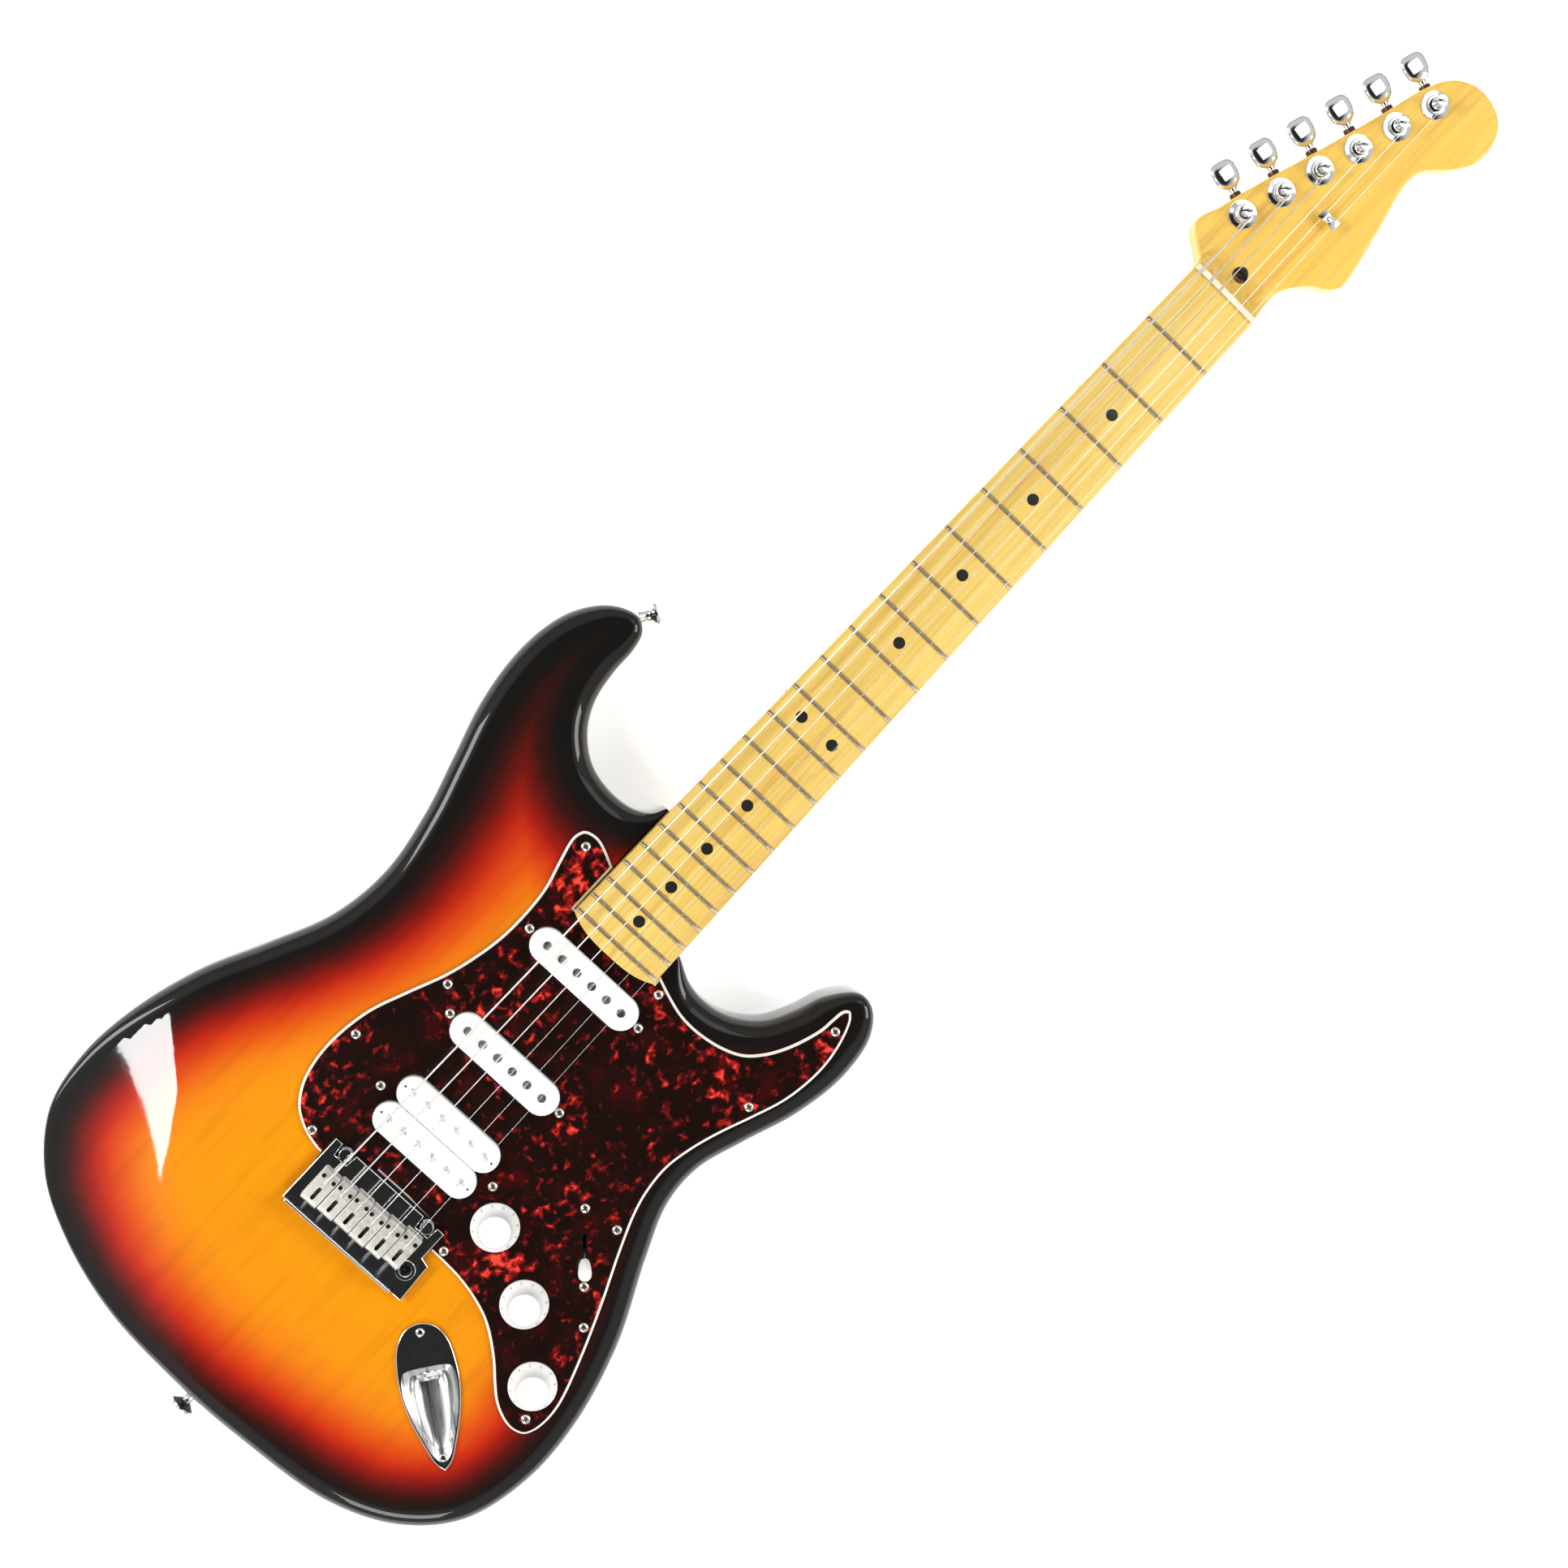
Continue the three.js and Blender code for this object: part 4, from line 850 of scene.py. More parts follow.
def grid_inside(outline):
    """Grid points that lie inside an outline and not too near it."""
    rim = np.array([tuple(p) for p in outline])
    ahead = np.roll(rim, -1, axis=0)
    low, high = rim.min(0), rim.max(0)
    found = []
    for row, y in enumerate(np.arange(low[1], high[1], GRID * 0.866)):
        crossing = (rim[:, 1] > y) != (ahead[:, 1] > y)
        a, b = rim[crossing], ahead[crossing]
        cuts = np.sort(a[:, 0] + (y - a[:, 1]) / (b[:, 1] - a[:, 1]) * (b[:, 0] - a[:, 0]))
        for x in np.arange(low[0] + GRID / 2 * (row % 2), high[0], GRID):
            if np.searchsorted(cuts, x) % 2 == 0:
                continue
            if np.hypot(rim[:, 0] - x, rim[:, 1] - y).min() > GRID * 0.6:
                found.append(Vector((float(x), float(y))))
    return found


def shade_burst(made, outline):
    """Stores each vertex's distance from the rim, which the sunburst's colours follow."""
    mesh = made.data
    rim = np.array(outline)
    rim = rim[(rim[:, 0] < 196) | (np.abs(rim[:, 1]) > 24)]
    co = np.zeros(len(mesh.vertices) * 3)
    mesh.vertices.foreach_get("co", co)
    co = co.reshape(-1, 3) / MM
    soft = 5.0
    near = np.zeros(len(co))
    for start in range(0, len(co), 2000):
        part = co[start:start + 2000]
        gap = np.hypot(part[:, None, 0] - rim[None, :, 0], part[:, None, 1] - rim[None, :, 1])
        least = gap.min(1)
        crowd = np.exp(-(gap - least[:, None]) / soft).mean(1) * len(rim)
        near[start:start + 2000] = least - soft * 0.35 * np.log(np.maximum(crowd / 6.0, 1.0))
    tail = np.clip((-40 - co[:, 0]) / 60, 0, 1) * np.clip((co[:, 1] + 60) / 60, 0, 1)
    horn = np.clip((co[:, 0] - 70) / 130, 0, 1) * np.clip((co[:, 1] - 30) / 20, 0, 1)
    near = near * (1 - 0.28 * horn) + 5.0 * tail
    heel = np.clip((co[:, 0] - 205) / 25, 0, 1) * np.clip((40 - np.abs(co[:, 1])) / 10, 0, 1)
    under_neck = co[:, 2] < HEEL_Z - 1
    near = near * (1 - heel * under_neck)
    attribute = mesh.attributes.new("burst", "FLOAT", "POINT")
    attribute.data.foreach_set("value", (near / 100).astype(np.float32))


def routs():
    """The cavities under the pickguard, the bridge, the jack plate and the back cover, and a thin patch
    of painted shade under the bridge plate's front.
    """
    shape = Shape()
    shape.merge(block(HEEL_X - 0.3, 275, -28.6, 28.6, HEEL_Z - 0.3, FACE + 2, mark=1))
    for node in ("neck_pickup_cover", "middle_pickup_cover"):
        x = middle_of(node).x
        shape.merge(block(x - 12, x + 12, -44, 44, FACE - 19, FACE + 1, mark=1))
    shape.merge(block(24, 67, -45, 45, FACE - 19, FACE + 1, mark=1))
    control = [(19, -39), (47, -39), (70, -72), (80, -84), (74, -93), (44, -119.5), (30, -123.5),
               (0, -135.5), (-14, -140.5), (-27, -139), (-31.5, -131), (-30, -120), (-14, -103),
               (-1, -84), (16, -60)]
    shape.merge(slab([control], [(0, FACE - 34), (0, FACE + 1)], marks=[1], cap_mark=1))
    tremolo = [(-27.5, -41), (-6.5, -41), (-6.5, -37), (-3, -37), (-3, 35), (-27.5, 35)]
    shape.merge(slab([tremolo], [(0, BACK - 1), (0, FACE + 1)], marks=[1], cap_mark=1))
    # A shallow dark patch under the bridge plate's front: painted shade, not a real rout.
    shape.merge(block(-5, 11.8, -38, 38, FACE - 0.15, FACE + 1, mark=1))
    springs = rounded_box(-33, 108, -41, 38, 5)
    shape.merge(slab([springs], [(0, BACK - 1), (0, FACE - 26.5)], marks=[1], cap_mark=1))
    jack = [jack_point(u, v) for u, v in ((-12, 0), (-6, 10), (8, 14.5), (24, 14.8), (36, 12.6),
                                          (48, 8.8), (57, 5.1), (62, 0), (57, -5.1), (48, -8.8),
                                          (36, -12.6), (24, -14.8), (8, -14.5), (-6, -10))]
    shape.merge(slab([jack], [(0, FACE - 28), (0, FACE + 1)], marks=[1], cap_mark=1))
    return shape


def jack_point(u, v):
    return (JACK.x + u * JACK_ALONG.x - v * JACK_ALONG.y, JACK.y + u * JACK_ALONG.y + v * JACK_ALONG.x)


def make_body():
    outline = body_outline()
    made = mesh_object("sunburst_body", body_shape(outline), [SUNBURST, CAVITY_PAINT_AND_SHADE])
    bm = bmesh.new()
    bm.from_mesh(made.data)
    bmesh.ops.remove_doubles(bm, verts=bm.verts, dist=1e-6)
    bmesh.ops.recalc_face_normals(bm, faces=bm.faces)
    bm.to_mesh(made.data)
    bm.free()
    boolean(made, routs(), overlapping=True)
    shade_burst(made, outline)
    settle(made, ROOT, ["body"], sharp=50, weighted=False)


# ---------------------------------------------------------------- neck
HEAD = [
    (652, 20.8), (656, 21.6), (660.5, 26.9), (665.3, 33.6), (670, 36.6), (675.5, 35.9),
    (683, 32.8), (697, 29.2), (740, 15.7), (783, 2.8), (808, -4.2), (821.5, -11.5), (828.5, -22),
    (829.3, -34), (824.5, -45.5), (813.5, -52), (799.5, -52), (787.5, -44.6), (776.5, -34.4),
    (765, -32.1), (737.5, -38), (712.5, -43.4), (701, -44.6), (695, -41.3), (690.3, -34),
    (683.3, -27.1), (674.5, -21.7), (664, -20.3), (652, -20.8),
]
ROD_HOLE = Vector((664, 0, HEAD_Z + 1))
ROD_AXIS = Vector((0.8, 0, 0.6))


def neck_section(x, drop=0.0):
    """Rolled fingerboard edges over a back that is square at the heel and oval beyond it."""
    half = half_width(min(x, SCALE + NUT_T))
    roll = 1.3
    board = BOARD_Z - drop
    points = []
    for k in range(17):
        y = lerp(-half + roll, half - roll, k / 16)
        points.append((x, y, board - sag(y)))
    edge = board - sag(half) - roll
    for k in range(1, 4):
        a = TAU / 4 * k / 4
        points.append((x, half - roll + roll * math.sin(a), edge + roll * math.cos(a)))
    out = smoothstep(x, 232, 272)
    head = smoothstep(x, 628, 672)
    shaft = 21 + 2.2 * (SCALE - x) / (SCALE - 260)
    depth = lerp(lerp(BOARD_Z - HEEL_Z, shaft, out), BOARD_Z - (HEAD_Z - HEAD_T), head)
    square = lerp(lerp(0.08, 0.86, out), 0.2, head)
    shoulder = board - sag(half) - 3.5
    for k in range(37):
        a = math.pi * k / 36
        y = half * math.copysign(abs(math.cos(a)) ** square, math.cos(a))
        z = shoulder - (depth - (BOARD_Z - shoulder)) * abs(math.sin(a)) ** square
        points.append((x, y, z))
    for k in range(3, 0, -1):
        a = TAU / 4 * k / 4
        points.append((x, -half + roll - roll * math.sin(a), edge + roll * math.cos(a)))
    return points


def overhang_shape():
    """The fingerboard's end over the pickguard, bowed in plan."""
    half = 28.0
    bow = 5

    def ring(x_of):
        top = [lerp(-half, half, k / 16) for k in range(17)]
        return ([(x_of(y), y, BOARD_Z - sag(y)) for y in top]
                + [(x_of(y), y, GUARD_TOP + 0.7) for y in top[::-1]])

    return loft([ring(lambda y: BOARD_END + bow * (abs(y) / half) ** 3), ring(lambda y: HEEL_X + 1)])


def head_slope_shape():
    """From the nut down to the headstock's face."""
    steps = [(SCALE + NUT_T - 1, BOARD_Z - 0.8), (SCALE + NUT_T + 1.5, BOARD_Z - 1.2),
             (655.5, BOARD_Z - 3.2), (659, BOARD_Z - 6.0), (663, BOARD_Z - 8.2),
             (668, BOARD_Z - 9.8), (675, HEAD_Z - 0.2)]
    fine = curve_through(steps, False, 4)
    rings = []
    for p in fine:
        half = 20.7 if p.x < 660 else 20.0
        ring = [(p.x, -half, HEAD_Z - 6), (p.x, half, HEAD_Z - 6)]
        for k in range(13):
            y = lerp(half, -half, k / 12)
            ring.append((p.x, y, p.y - 0.02 * abs(y) - (0.9 if k in (0, 12) else 0)))
        rings.append(ring)
    return loft(rings)


def make_neck():
    stations = [HEEL_X, 200, 225] + [232 + 3 * k for k in range(15)]
    stations += [285 + 25 * k for k in range(14)] + [628, 634, 640, 646, 650, 652]
    rings = [neck_section(x) for x in stations]
    rings += [neck_section(x, BOARD_Z - HEAD_Z + 2) for x in (653, 657, 661, 665, 669, 673)]
    made = mesh_object("maple_neck", loft(rings), [MAPLE, CAVITY_PAINT_AND_SHADE])
    head = slab([[tuple(p) for p in curve_through(HEAD, False, 6)]],
                rounded(HEAD_Z - HEAD_T, HEAD_Z, 2.0, 1.6, 4))
    for part in (head, head_slope_shape(), overhang_shape()):
        boolean(made, part, "UNION")
    tools = Shape()
    tools.merge(block(SCALE - 0.1, SCALE + NUT_T + 0.1, -30, 30, BOARD_Z - 3.3, BOARD_Z + 5))
    # The rod hole's walls take mark 1, dark paint that stands for the shade inside the hole.
    tools.merge(rod(4.4, -13, 12, 32, aimed(ROD_HOLE, ROD_AXIS), 1))
    for i in STRINGS:
        p = post_place(i)
        tools.merge(rod(5.3, HEAD_Z - HEAD_T - 1, HEAD_Z + 1, 24, at(p.x, p.y)))
    boolean(made, tools)
    settle(made, ROOT, ["neck"], sharp=32, weighted=True)
    plug = spun([(1.7, -9), (4.3, -9), (4.3, 0.4), (3.8, 0.6), (1.9, 0.3), (1.7, 0.0)], 32,
                aimed(ROD_HOLE, ROD_AXIS))
    piece("walnut_plug", plug, WALNUT, ROOT, ["truss_rod_plug"])


def make_stripe():
    """The walnut stripe in the neck's back, flush with it, with round ends."""
    low, high = box_of("skunk_stripe")
    rings = []
    for k in range(61):
        x = lerp(low.x, high.x, k / 60)
        end = min(x - low.x, high.x - x)
        half = max(0.05, math.sqrt(max(0.0, min(end, 3) * (6 - min(end, 3)))))
        section = neck_section(x)[20:57]
        bottom = min(z for _, _, z in section)
        ring = [(x, lerp(-half, half, j / 6), bottom - 0.04) for j in range(7)]
        ring += [(x, half, bottom + 3), (x, -half, bottom + 3)]
        rings.append([(px, y, z + 0.0075 * y * y if z < bottom + 1 else z) for px, y, z in ring])
    piece("walnut_stripe", loft(rings), WALNUT, ROOT, ["skunk_stripe"])


def make_frets():
    shape = Shape()
    for n in range(1, FRETS + 1):
        x = fret_x(n)
        half = half_width(x) - 0.25
        rings = []
        for k in range(19):
            y = lerp(-half, half, k / 18)
            end = min(1.0, (half - abs(y) + 0.35) / 1.6)
            tall = 1.05 * math.sqrt(max(0.05, end * (2 - end)))
            z = BOARD_Z - sag(y) - 0.1
            rings.append([(x + 1.08 * math.cos(math.pi * j / 8), y,
                           z + tall * math.sin(math.pi * j / 8)) for j in range(9)])
        shape.merge(loft(rings))
    piece("fret_wires", shape, FRET_METAL_BOARD_REFLECTION, ROOT, ["frets"], sharp=60, weighted=False)


def make_dots():
    shape = Shape()
    for n in (3, 5, 7, 9, 12, 15, 17, 19, 21):
        x = (fret_x(n) + fret_x(n - 1)) / 2
        for y in (10.9, -10.9) if n == 12 else (0.0,):
            lean = Matrix.Rotation(-math.asin(y / BOARD_R), 4, "X")
            place = at(x, 0, BOARD_Z - BOARD_R) @ lean @ at(0, 0, BOARD_R)
            shape.merge(spun([(0, -1), (3.2, -1), (3.2, 0), (3.1, 0.04), (0, 0.05)], 32, place))
        for shift in (-4.5, 4.5) if n == 12 else (0.0,):
            edge = half_width(x) - 0.6
            shape.merge(rod(1.1, -1, 0.66, 20, aimed((x + shift, edge, BOARD_Z - 5), (0, 1, 0))))
    piece("position_dots", shape, PLY_BLACK, ROOT)


def make_nut():
    rings = []
    for x, drop in ((SCALE + 0.1, 0.35), (SCALE + 0.5, 0.0), (SCALE + 2.4, 0.15),
                    (SCALE + NUT_T - 0.1, 0.9)):
        ring = [(x, -20.8, BOARD_Z - 3.2), (x, 20.8, BOARD_Z - 3.2)]
        for k in range(121):
            y = lerp(20.8, -20.8, k / 120)
            top = BOARD_Z + 2.2 - sag(y) - drop
            end = max(0.0, abs(y) - 19.6)
            top -= end * end * 0.5
            for i in STRINGS:
                width = STRING_R[i] + 0.35
                if abs(y - nut_y(i)) < width:
                    top = min(top, BOARD_Z + 1.75 - sag(y))
            ring.append((x, y, top))
        rings.append(ring)
    piece("bone_nut", loft(rings), CREAM, ROOT, ["nut"], sharp=40)


# ---------------------------------------------------------------- pickguard
def make_pickguard():
    loops = [refined(loop) for loop in cad_loops("pickguard", GUARD_TOP)]
    profile = [(0, GUARD_Z), (0, GUARD_Z + 0.55), (0.15, GUARD_Z + 0.75),
               (1.35, GUARD_TOP - 0.4), (1.75, GUARD_TOP)]
    holes = [(0, GUARD_Z), (0, GUARD_Z + 0.55), (0, GUARD_Z + 1.6), (0, GUARD_TOP - 0.15),
             (0.15, GUARD_TOP)]

    def bevel(x, y):
        """The edge round the bridge is square."""
        return 0.0 if -10 < x < 11.9 and abs(y) < 38.6 else 1.0

    made = slab(loops, profile, holes, marks=[2, 1, 1, 0], hole_mark=2, bevel=bevel)
    piece("pickguard_plies", made, [TORTOISE, PLY_WHITE, PLY_BLACK], ROOT,
          ["pickguard"], sharp=25)


# ---------------------------------------------------------------- screws
def screws(name, places, radius, tall, look=None, matrices=None):
    """Domed heads with a cross cut in each, turned at random."""
    heads, tools = Shape(), Shape()
    rng = random.Random(len(places) * 7 + int(radius * 10))
    for number, (x, y, z) in enumerate(places):
        turn = rng.uniform(0, math.pi)
        base = matrices[number] if matrices else at(x, y, z)
        place = base @ Matrix.Rotation(turn, 4, "Z")
        dome = [(0, -1.0), (radius * 0.6, -1.0), (radius, 0), (radius, 0.12)]
        dome += [(radius * math.cos(TAU / 4 * k / 5), 0.12 + tall * math.sin(TAU / 4 * k / 5))
                 for k in range(1, 5)]
        dome += [(0, tall + 0.12)]
        heads.merge(spun(dome, 28), place)
        width = radius * 0.17
        arm = radius * 0.58
        tools.merge(block(-arm, arm, -width, width, tall * 0.2, tall + 2), place)
        tools.merge(block(-width, width, -arm, arm, tall * 0.2, tall + 2), place)
    piece(name, heads, look or CHROME, ROOT, cutters=tools)


GUARD_SCREWS = [(56.7, 66.8), (5.4, 49.5), (107.4, 49.8), (207.9, 46.3), (177.0, -34.4),
                (4.0, -43.6), (72.2, -102.9), (165.9, -109.9), (225.6, -116.5), (22.9, -125.1),
                (-32.5, -135.6)]
SWITCH_SCREWS = [(69.4, -82.8), (38.8, -110.6)]


def make_guard_screws():
    places = [(x, y, GUARD_TOP) for x, y in GUARD_SCREWS + SWITCH_SCREWS]
    for node in ("neck_pickup_cover", "middle_pickup_cover"):
        places += [(middle_of(node).x, side * 38.6, GUARD_TOP) for side in (1, -1)]
    places += [(45.7, side * 39.3, GUARD_TOP) for side in (1, -1)]
    screws("pickguard_screws", places, 2.65, 1.15, look=SCREW)


# ---------------------------------------------------------------- pickups
POLE_PITCH = 10.4
POLE_HEIGHTS = [0.7, 1.0, 1.2, 0.5, 0.9, 0.6]


def make_single_coil(name):
    x = middle_of(f"{name}_cover").x
    loops = [stadium(x, 0, 18.9, 70.9)]
    loops += [circle(x, (2.5 - i) * POLE_PITCH, 2.62, 24) for i in STRINGS]
    shell = slab(loops, rounded(GUARD_Z - 3, COVER_TOP, 0.2, 1.7, 5),
                 [(0, GUARD_Z - 3), (0, COVER_TOP - 0.25), (-0.2, COVER_TOP)])
    piece(f"{name}_shell", shell, WHITE, ROOT, [f"{name}_cover"], sharp=30)
    coil = slab([stadium(x, 0, 15, 66)], [(0, FACE - 12), (0, GUARD_Z - 3.6)])
    coil.merge(slab([rounded_box(x - 9, x + 9, -42, 42, 4)], [(0, FACE - 14.5), (0, FACE - 12.2)]))
    piece(f"{name}_bobbin", coil, PLY_BLACK, ROOT, [f"{name}_coil"])
    poles = Shape()
    for i in STRINGS:
        top = COVER_TOP - 0.4 + POLE_HEIGHTS[i]
        poles.merge(spun([(0, FACE - 10), (2.42, FACE - 10), (2.42, top - 0.35), (2.1, top),
                          (0, top + 0.05)], 28, at(x, (2.5 - i) * POLE_PITCH)))
    piece(f"{name}_poles", poles, POLE, ROOT)


def make_humbucker():
    low, high = box_of("humbucker")
    bobbins = Shape()
    centres = [36.7, 54.7]
    for x in centres:
        loops = [stadium(x, 0, 17.75, 66.5)]
        loops += [circle(x, (2.5 - i) * 10, 2.5, 24) for i in STRINGS]
        loops += [circle(x, side * 30, 0.8, 12) for side in (1, -1)]
        bobbins.merge(slab(loops, rounded(FACE - 6, COVER_TOP, 0.3, 1.3, 5),
                           [(0, FACE - 6), (0, COVER_TOP - 0.2), (-0.15, COVER_TOP)]))
    made = mesh_object("humbucker_bobbins", bobbins, [WHITE])
    settle(made, ROOT, ["humbucker"], sharp=30)
    poles, tools = Shape(), Shape()
    for x, slotted in zip(centres, (True, False)):
        for i in STRINGS:
            y = (2.5 - i) * 10
            poles.merge(spun([(0, FACE - 9), (2.35, FACE - 9), (2.35, COVER_TOP - 0.1),
                              (1.9, COVER_TOP + 0.25), (0, COVER_TOP + 0.42)], 28, at(x, y)))
            if slotted:
                tools.merge(block(-3, 3, -0.3, 0.3, COVER_TOP - 0.2, COVER_TOP + 2),
                            at(x, y, 0, 0.5 + 1.1 * i))
    piece("humbucker_poles", poles, PALE_POLE, ROOT, cutters=tools)
    frame_plate = slab([rounded_box(low.x + 1, high.x - 1, -34, 34, 2)],
                       [(0, FACE - 12), (0, FACE - 9.5)])
    frame_plate.merge(slab([rounded_box(41.7, 49.7, -43, 43, 2)], [(0, FACE - 13.6), (0, FACE - 12.1)]))
    piece("humbucker_frame", frame_plate, STEEL, ROOT)


# ---------------------------------------------------------------- controls
def numerals_on(name, x, y, body):
    """The numbers 1 to 10 printed round a knob's skirt."""
    foot = GUARD_TOP + 0.5
    shape = Shape()
    for number in range(1, 11):
        data = bpy.data.curves.new("numeral", "FONT")
        data.body = str(number)
        data.size = 2.7 * MM
        data.align_x = "CENTER"
        data.align_y = "CENTER"
        data.extrude = 0.03 * MM
        data.resolution_u = 2
        text = bpy.data.objects.new("numeral", data)
        mesh = bpy.data.meshes.new_from_object(text)
        angle = math.radians(200 - 30 * number)
        spot = at(x, y) @ Matrix.Rotation(angle, 4, "Z") @ Matrix.Translation((11.55, 0, foot + 3.28))
        tilt = Matrix.Rotation(math.radians(50), 4, "Y") @ Matrix.Rotation(-TAU / 4, 4, "Z")
        shape.add([v.co / MM for v in mesh.vertices], [list(p.vertices) for p in mesh.polygons], 0,
                  spot @ tilt)
        bpy.data.objects.remove(text)
        bpy.data.meshes.remove(mesh)
        bpy.data.curves.remove(data)
    piece(f"{name}_numerals", shape, INK, body, weighted=False)


def make_knob(node, joint, body):
    place = joint_place(joint)
    foot = GUARD_TOP + 0.5
    profile = [(0, FACE - 7), (3, FACE - 7), (3, foot + 8), (9.5, foot + 6), (11.8, foot),
               (12.7, foot), (12.95, foot + 0.3), (12.95, foot + 1.3), (12.6, foot + 1.9),
               (11.7, foot + 3.0), (10.6, foot + 4.4), (9.6, foot + 6.0), (9.0, foot + 8.0),
               (8.6, foot + 10.2), (8.35, foot + 12.1), (8.05, foot + 12.7), (7.5, foot + 12.95)]
    profile += [(7.2 * (1 - k / 4), foot + 12.95 - 0.5 * math.sin(math.pi / 2 * k / 4))
                for k in range(1, 5)]
    knob = spun(profile, 64, at(place.x, place.y))
    ribs = 32
    for k, v in enumerate(knob.verts):
        offset = Vector((v.x - place.x, v.y - place.y))
        if foot + 6.0 < v.z < foot + 12.2 and offset.length > 8:
            angle = math.atan2(offset.y, offset.x)
            shrink = 1 - 0.018 * (0.5 + 0.5 * math.cos(angle * ribs))
            knob.verts[k] = Vector((place.x + offset.x * shrink, place.y + offset.y * shrink, v.z))
    piece(node + "_skirted", knob, WHITE, body, [node], sharp=38)
    numerals_on(node, place.x, place.y, body)


def switch_frame_at(lean):
    place = joint_place("selector_lever")
    axis = Vector(JOINTS["selector_lever"]["axis"]).normalized()
    up = Matrix.Rotation(-lean, 3, axis) @ Vector((0, 0, 1))
    forward = axis.cross(up)
    turn = Matrix((forward, axis, up)).transposed().to_4x4()
    return Matrix.Translation(place) @ turn


SWITCH_LEAN = 0.54


def make_switch():
    lean = switch_frame_at(SWITCH_LEAN)
    sections = [(13, 2.0, 1.8), (13.4, 2.6, 2.4), (15.5, 3.3, 3.0), (19, 3.75, 3.45),
                (22, 3.9, 3.6), (24, 3.6, 3.3), (25.2, 2.6, 2.3), (25.6, 1.2, 1.0)]
    rings = []
    for z, along, across in sections:
        rings.append([(along * math.cos(TAU * k / 28), across * math.sin(TAU * k / 28), z)
                      for k in range(28)])
    shape = Shape().merge(loft(rings), lean)
    piece("switch_tip_cap", shape, WHITE, "selector", ["switch_tip"], sharp=50)
    lever = Shape().merge(block(-1.25, 1.25, -0.55, 0.55, -9, 20, 0.2), lean)
    piece("switch_blade", lever, STEEL, "selector", ["switch_lever"])


# ---------------------------------------------------------------- bridge
ARM_HOLE = (-15.9, -35.3)


def make_bridge():
    loops = cad_loops("bridge_plate", PLATE_Z)
    outer = refined(loops[0], 1)
    holes = [refined(loop) for loop in loops[1:]]
    plate = slab([outer] + holes, rounded(PLATE_Z, PLATE_TOP, 0.3, 0.7, 4),
                 [(0, PLATE_Z), (0, PLATE_TOP - 0.3), (-0.3, PLATE_TOP)])
    made = mesh_object("bridge_base", plate, [CHROME])
    lip = slab([rounded_box(-29.6, -27.7, -36.2, 36.2, 0.5, 3)],
               rounded(PLATE_TOP - 1, PLATE_TOP + 6, 0.1, 0.9, 4))
    boolean(made, lip, "UNION")
    settle(made, "tremolo", ["bridge_plate"], sharp=30)
    x, y = ARM_HOLE
    collar = spun([(3.15, PLATE_TOP - 1.2), (5.4, PLATE_TOP - 1.2), (5.4, PLATE_TOP + 0.5),
                   (5.0, PLATE_TOP + 0.9), (3.5, PLATE_TOP + 0.9), (3.15, PLATE_TOP + 0.6)], 40,
                  at(x, y))
    piece("arm_socket_collar", collar, CHROME, "tremolo")
    # A black disc deep in the arm socket: painted shade at the bottom of the hole.
    well = rod(3.05, PLATE_Z - 12, PLATE_Z - 11.6, 24, at(x, y))
    piece("arm_socket_shade_disc", well, BLACK_STEEL, "tremolo")


def make_saddle(i):
    low, high = box_of(f"saddle_{i + 1}")
    y = bridge_y(i)
    half = BRIDGE_PITCH / 2 - 0.22
    front, rear = high.x, low.x
    top = high.z
    # Side view of the saddle: a cranked steel plate that steps down at its rear.
    side = [(rear, low.z), (front, low.z), (front, top - 1.2), (front - 1.0, top - 0.15),
            (front - 3.2, top), (front - 8, top - 0.1), (rear + 3.0, top - 0.5),
            (rear + 0.8, top - 0.9), (rear, top - 1.8)]
    inset = 0.35
    rings = []
    for across, shrink in ((-half, inset), (-half + inset, 0), (half - inset, 0), (half, inset)):
        centre = Vector(((rear + front) / 2, (low.z + top) / 2))
        ring = []
        for px, pz in side:
            p = Vector((px, pz)) - centre
            ring.append((centre.x + p.x - math.copysign(min(shrink, abs(p.x)), p.x), y + across,
                         centre.y + p.y - math.copysign(min(shrink, abs(p.y)), p.y)))
        rings.append(ring)
    tools = Shape()
    # The slot and the screw holes take mark 1, dark steel that paints the shade inside them.
    slot = slab([stadium(0, 0, 2.1, 7.8, 6)], [(0, low.z + 1.5), (0, top + 2)], marks=[1], cap_mark=1)
    tools.merge(slot, at(rear + 6.6, y, 0, TAU / 4))
    for side_y in (-3.3, 3.3):
        tools.merge(rod(1.2, low.z + 1.5, top + 2, 20, at(front - 3.6, y + side_y), 1))
    r = STRING_R[i]
    tools.merge(tube([(front - 5.6, y, top + r + 0.4), (front + 1, y, top + r * 0.3)], r + 0.25, 12))
    name = f"saddle_{i + 1}"
    piece(name + "_block", loft(rings), [SATIN, SLOT_SHADE_STEEL], name, [name], tools,
          sharp=30)
    grubs = Shape()
    for side_y in (-3.3, 3.3):
        grubs.merge(spun([(0.5, PLATE_TOP), (1.1, PLATE_TOP), (1.1, top - 1.1), (0.5, top - 1.1)],
                         16, at(front - 3.6, y + side_y)))
    piece(name + "_height_screws", grubs, BLACK_STEEL, name)
    thread = rod(0.85, 0, rear + 29.4, 14, aimed((-29.5, y, PLATE_TOP + 2.6), (1, 0, 0)))
    piece(f"intonation_screw_{i + 1}", thread, BLACK_STEEL, "tremolo")


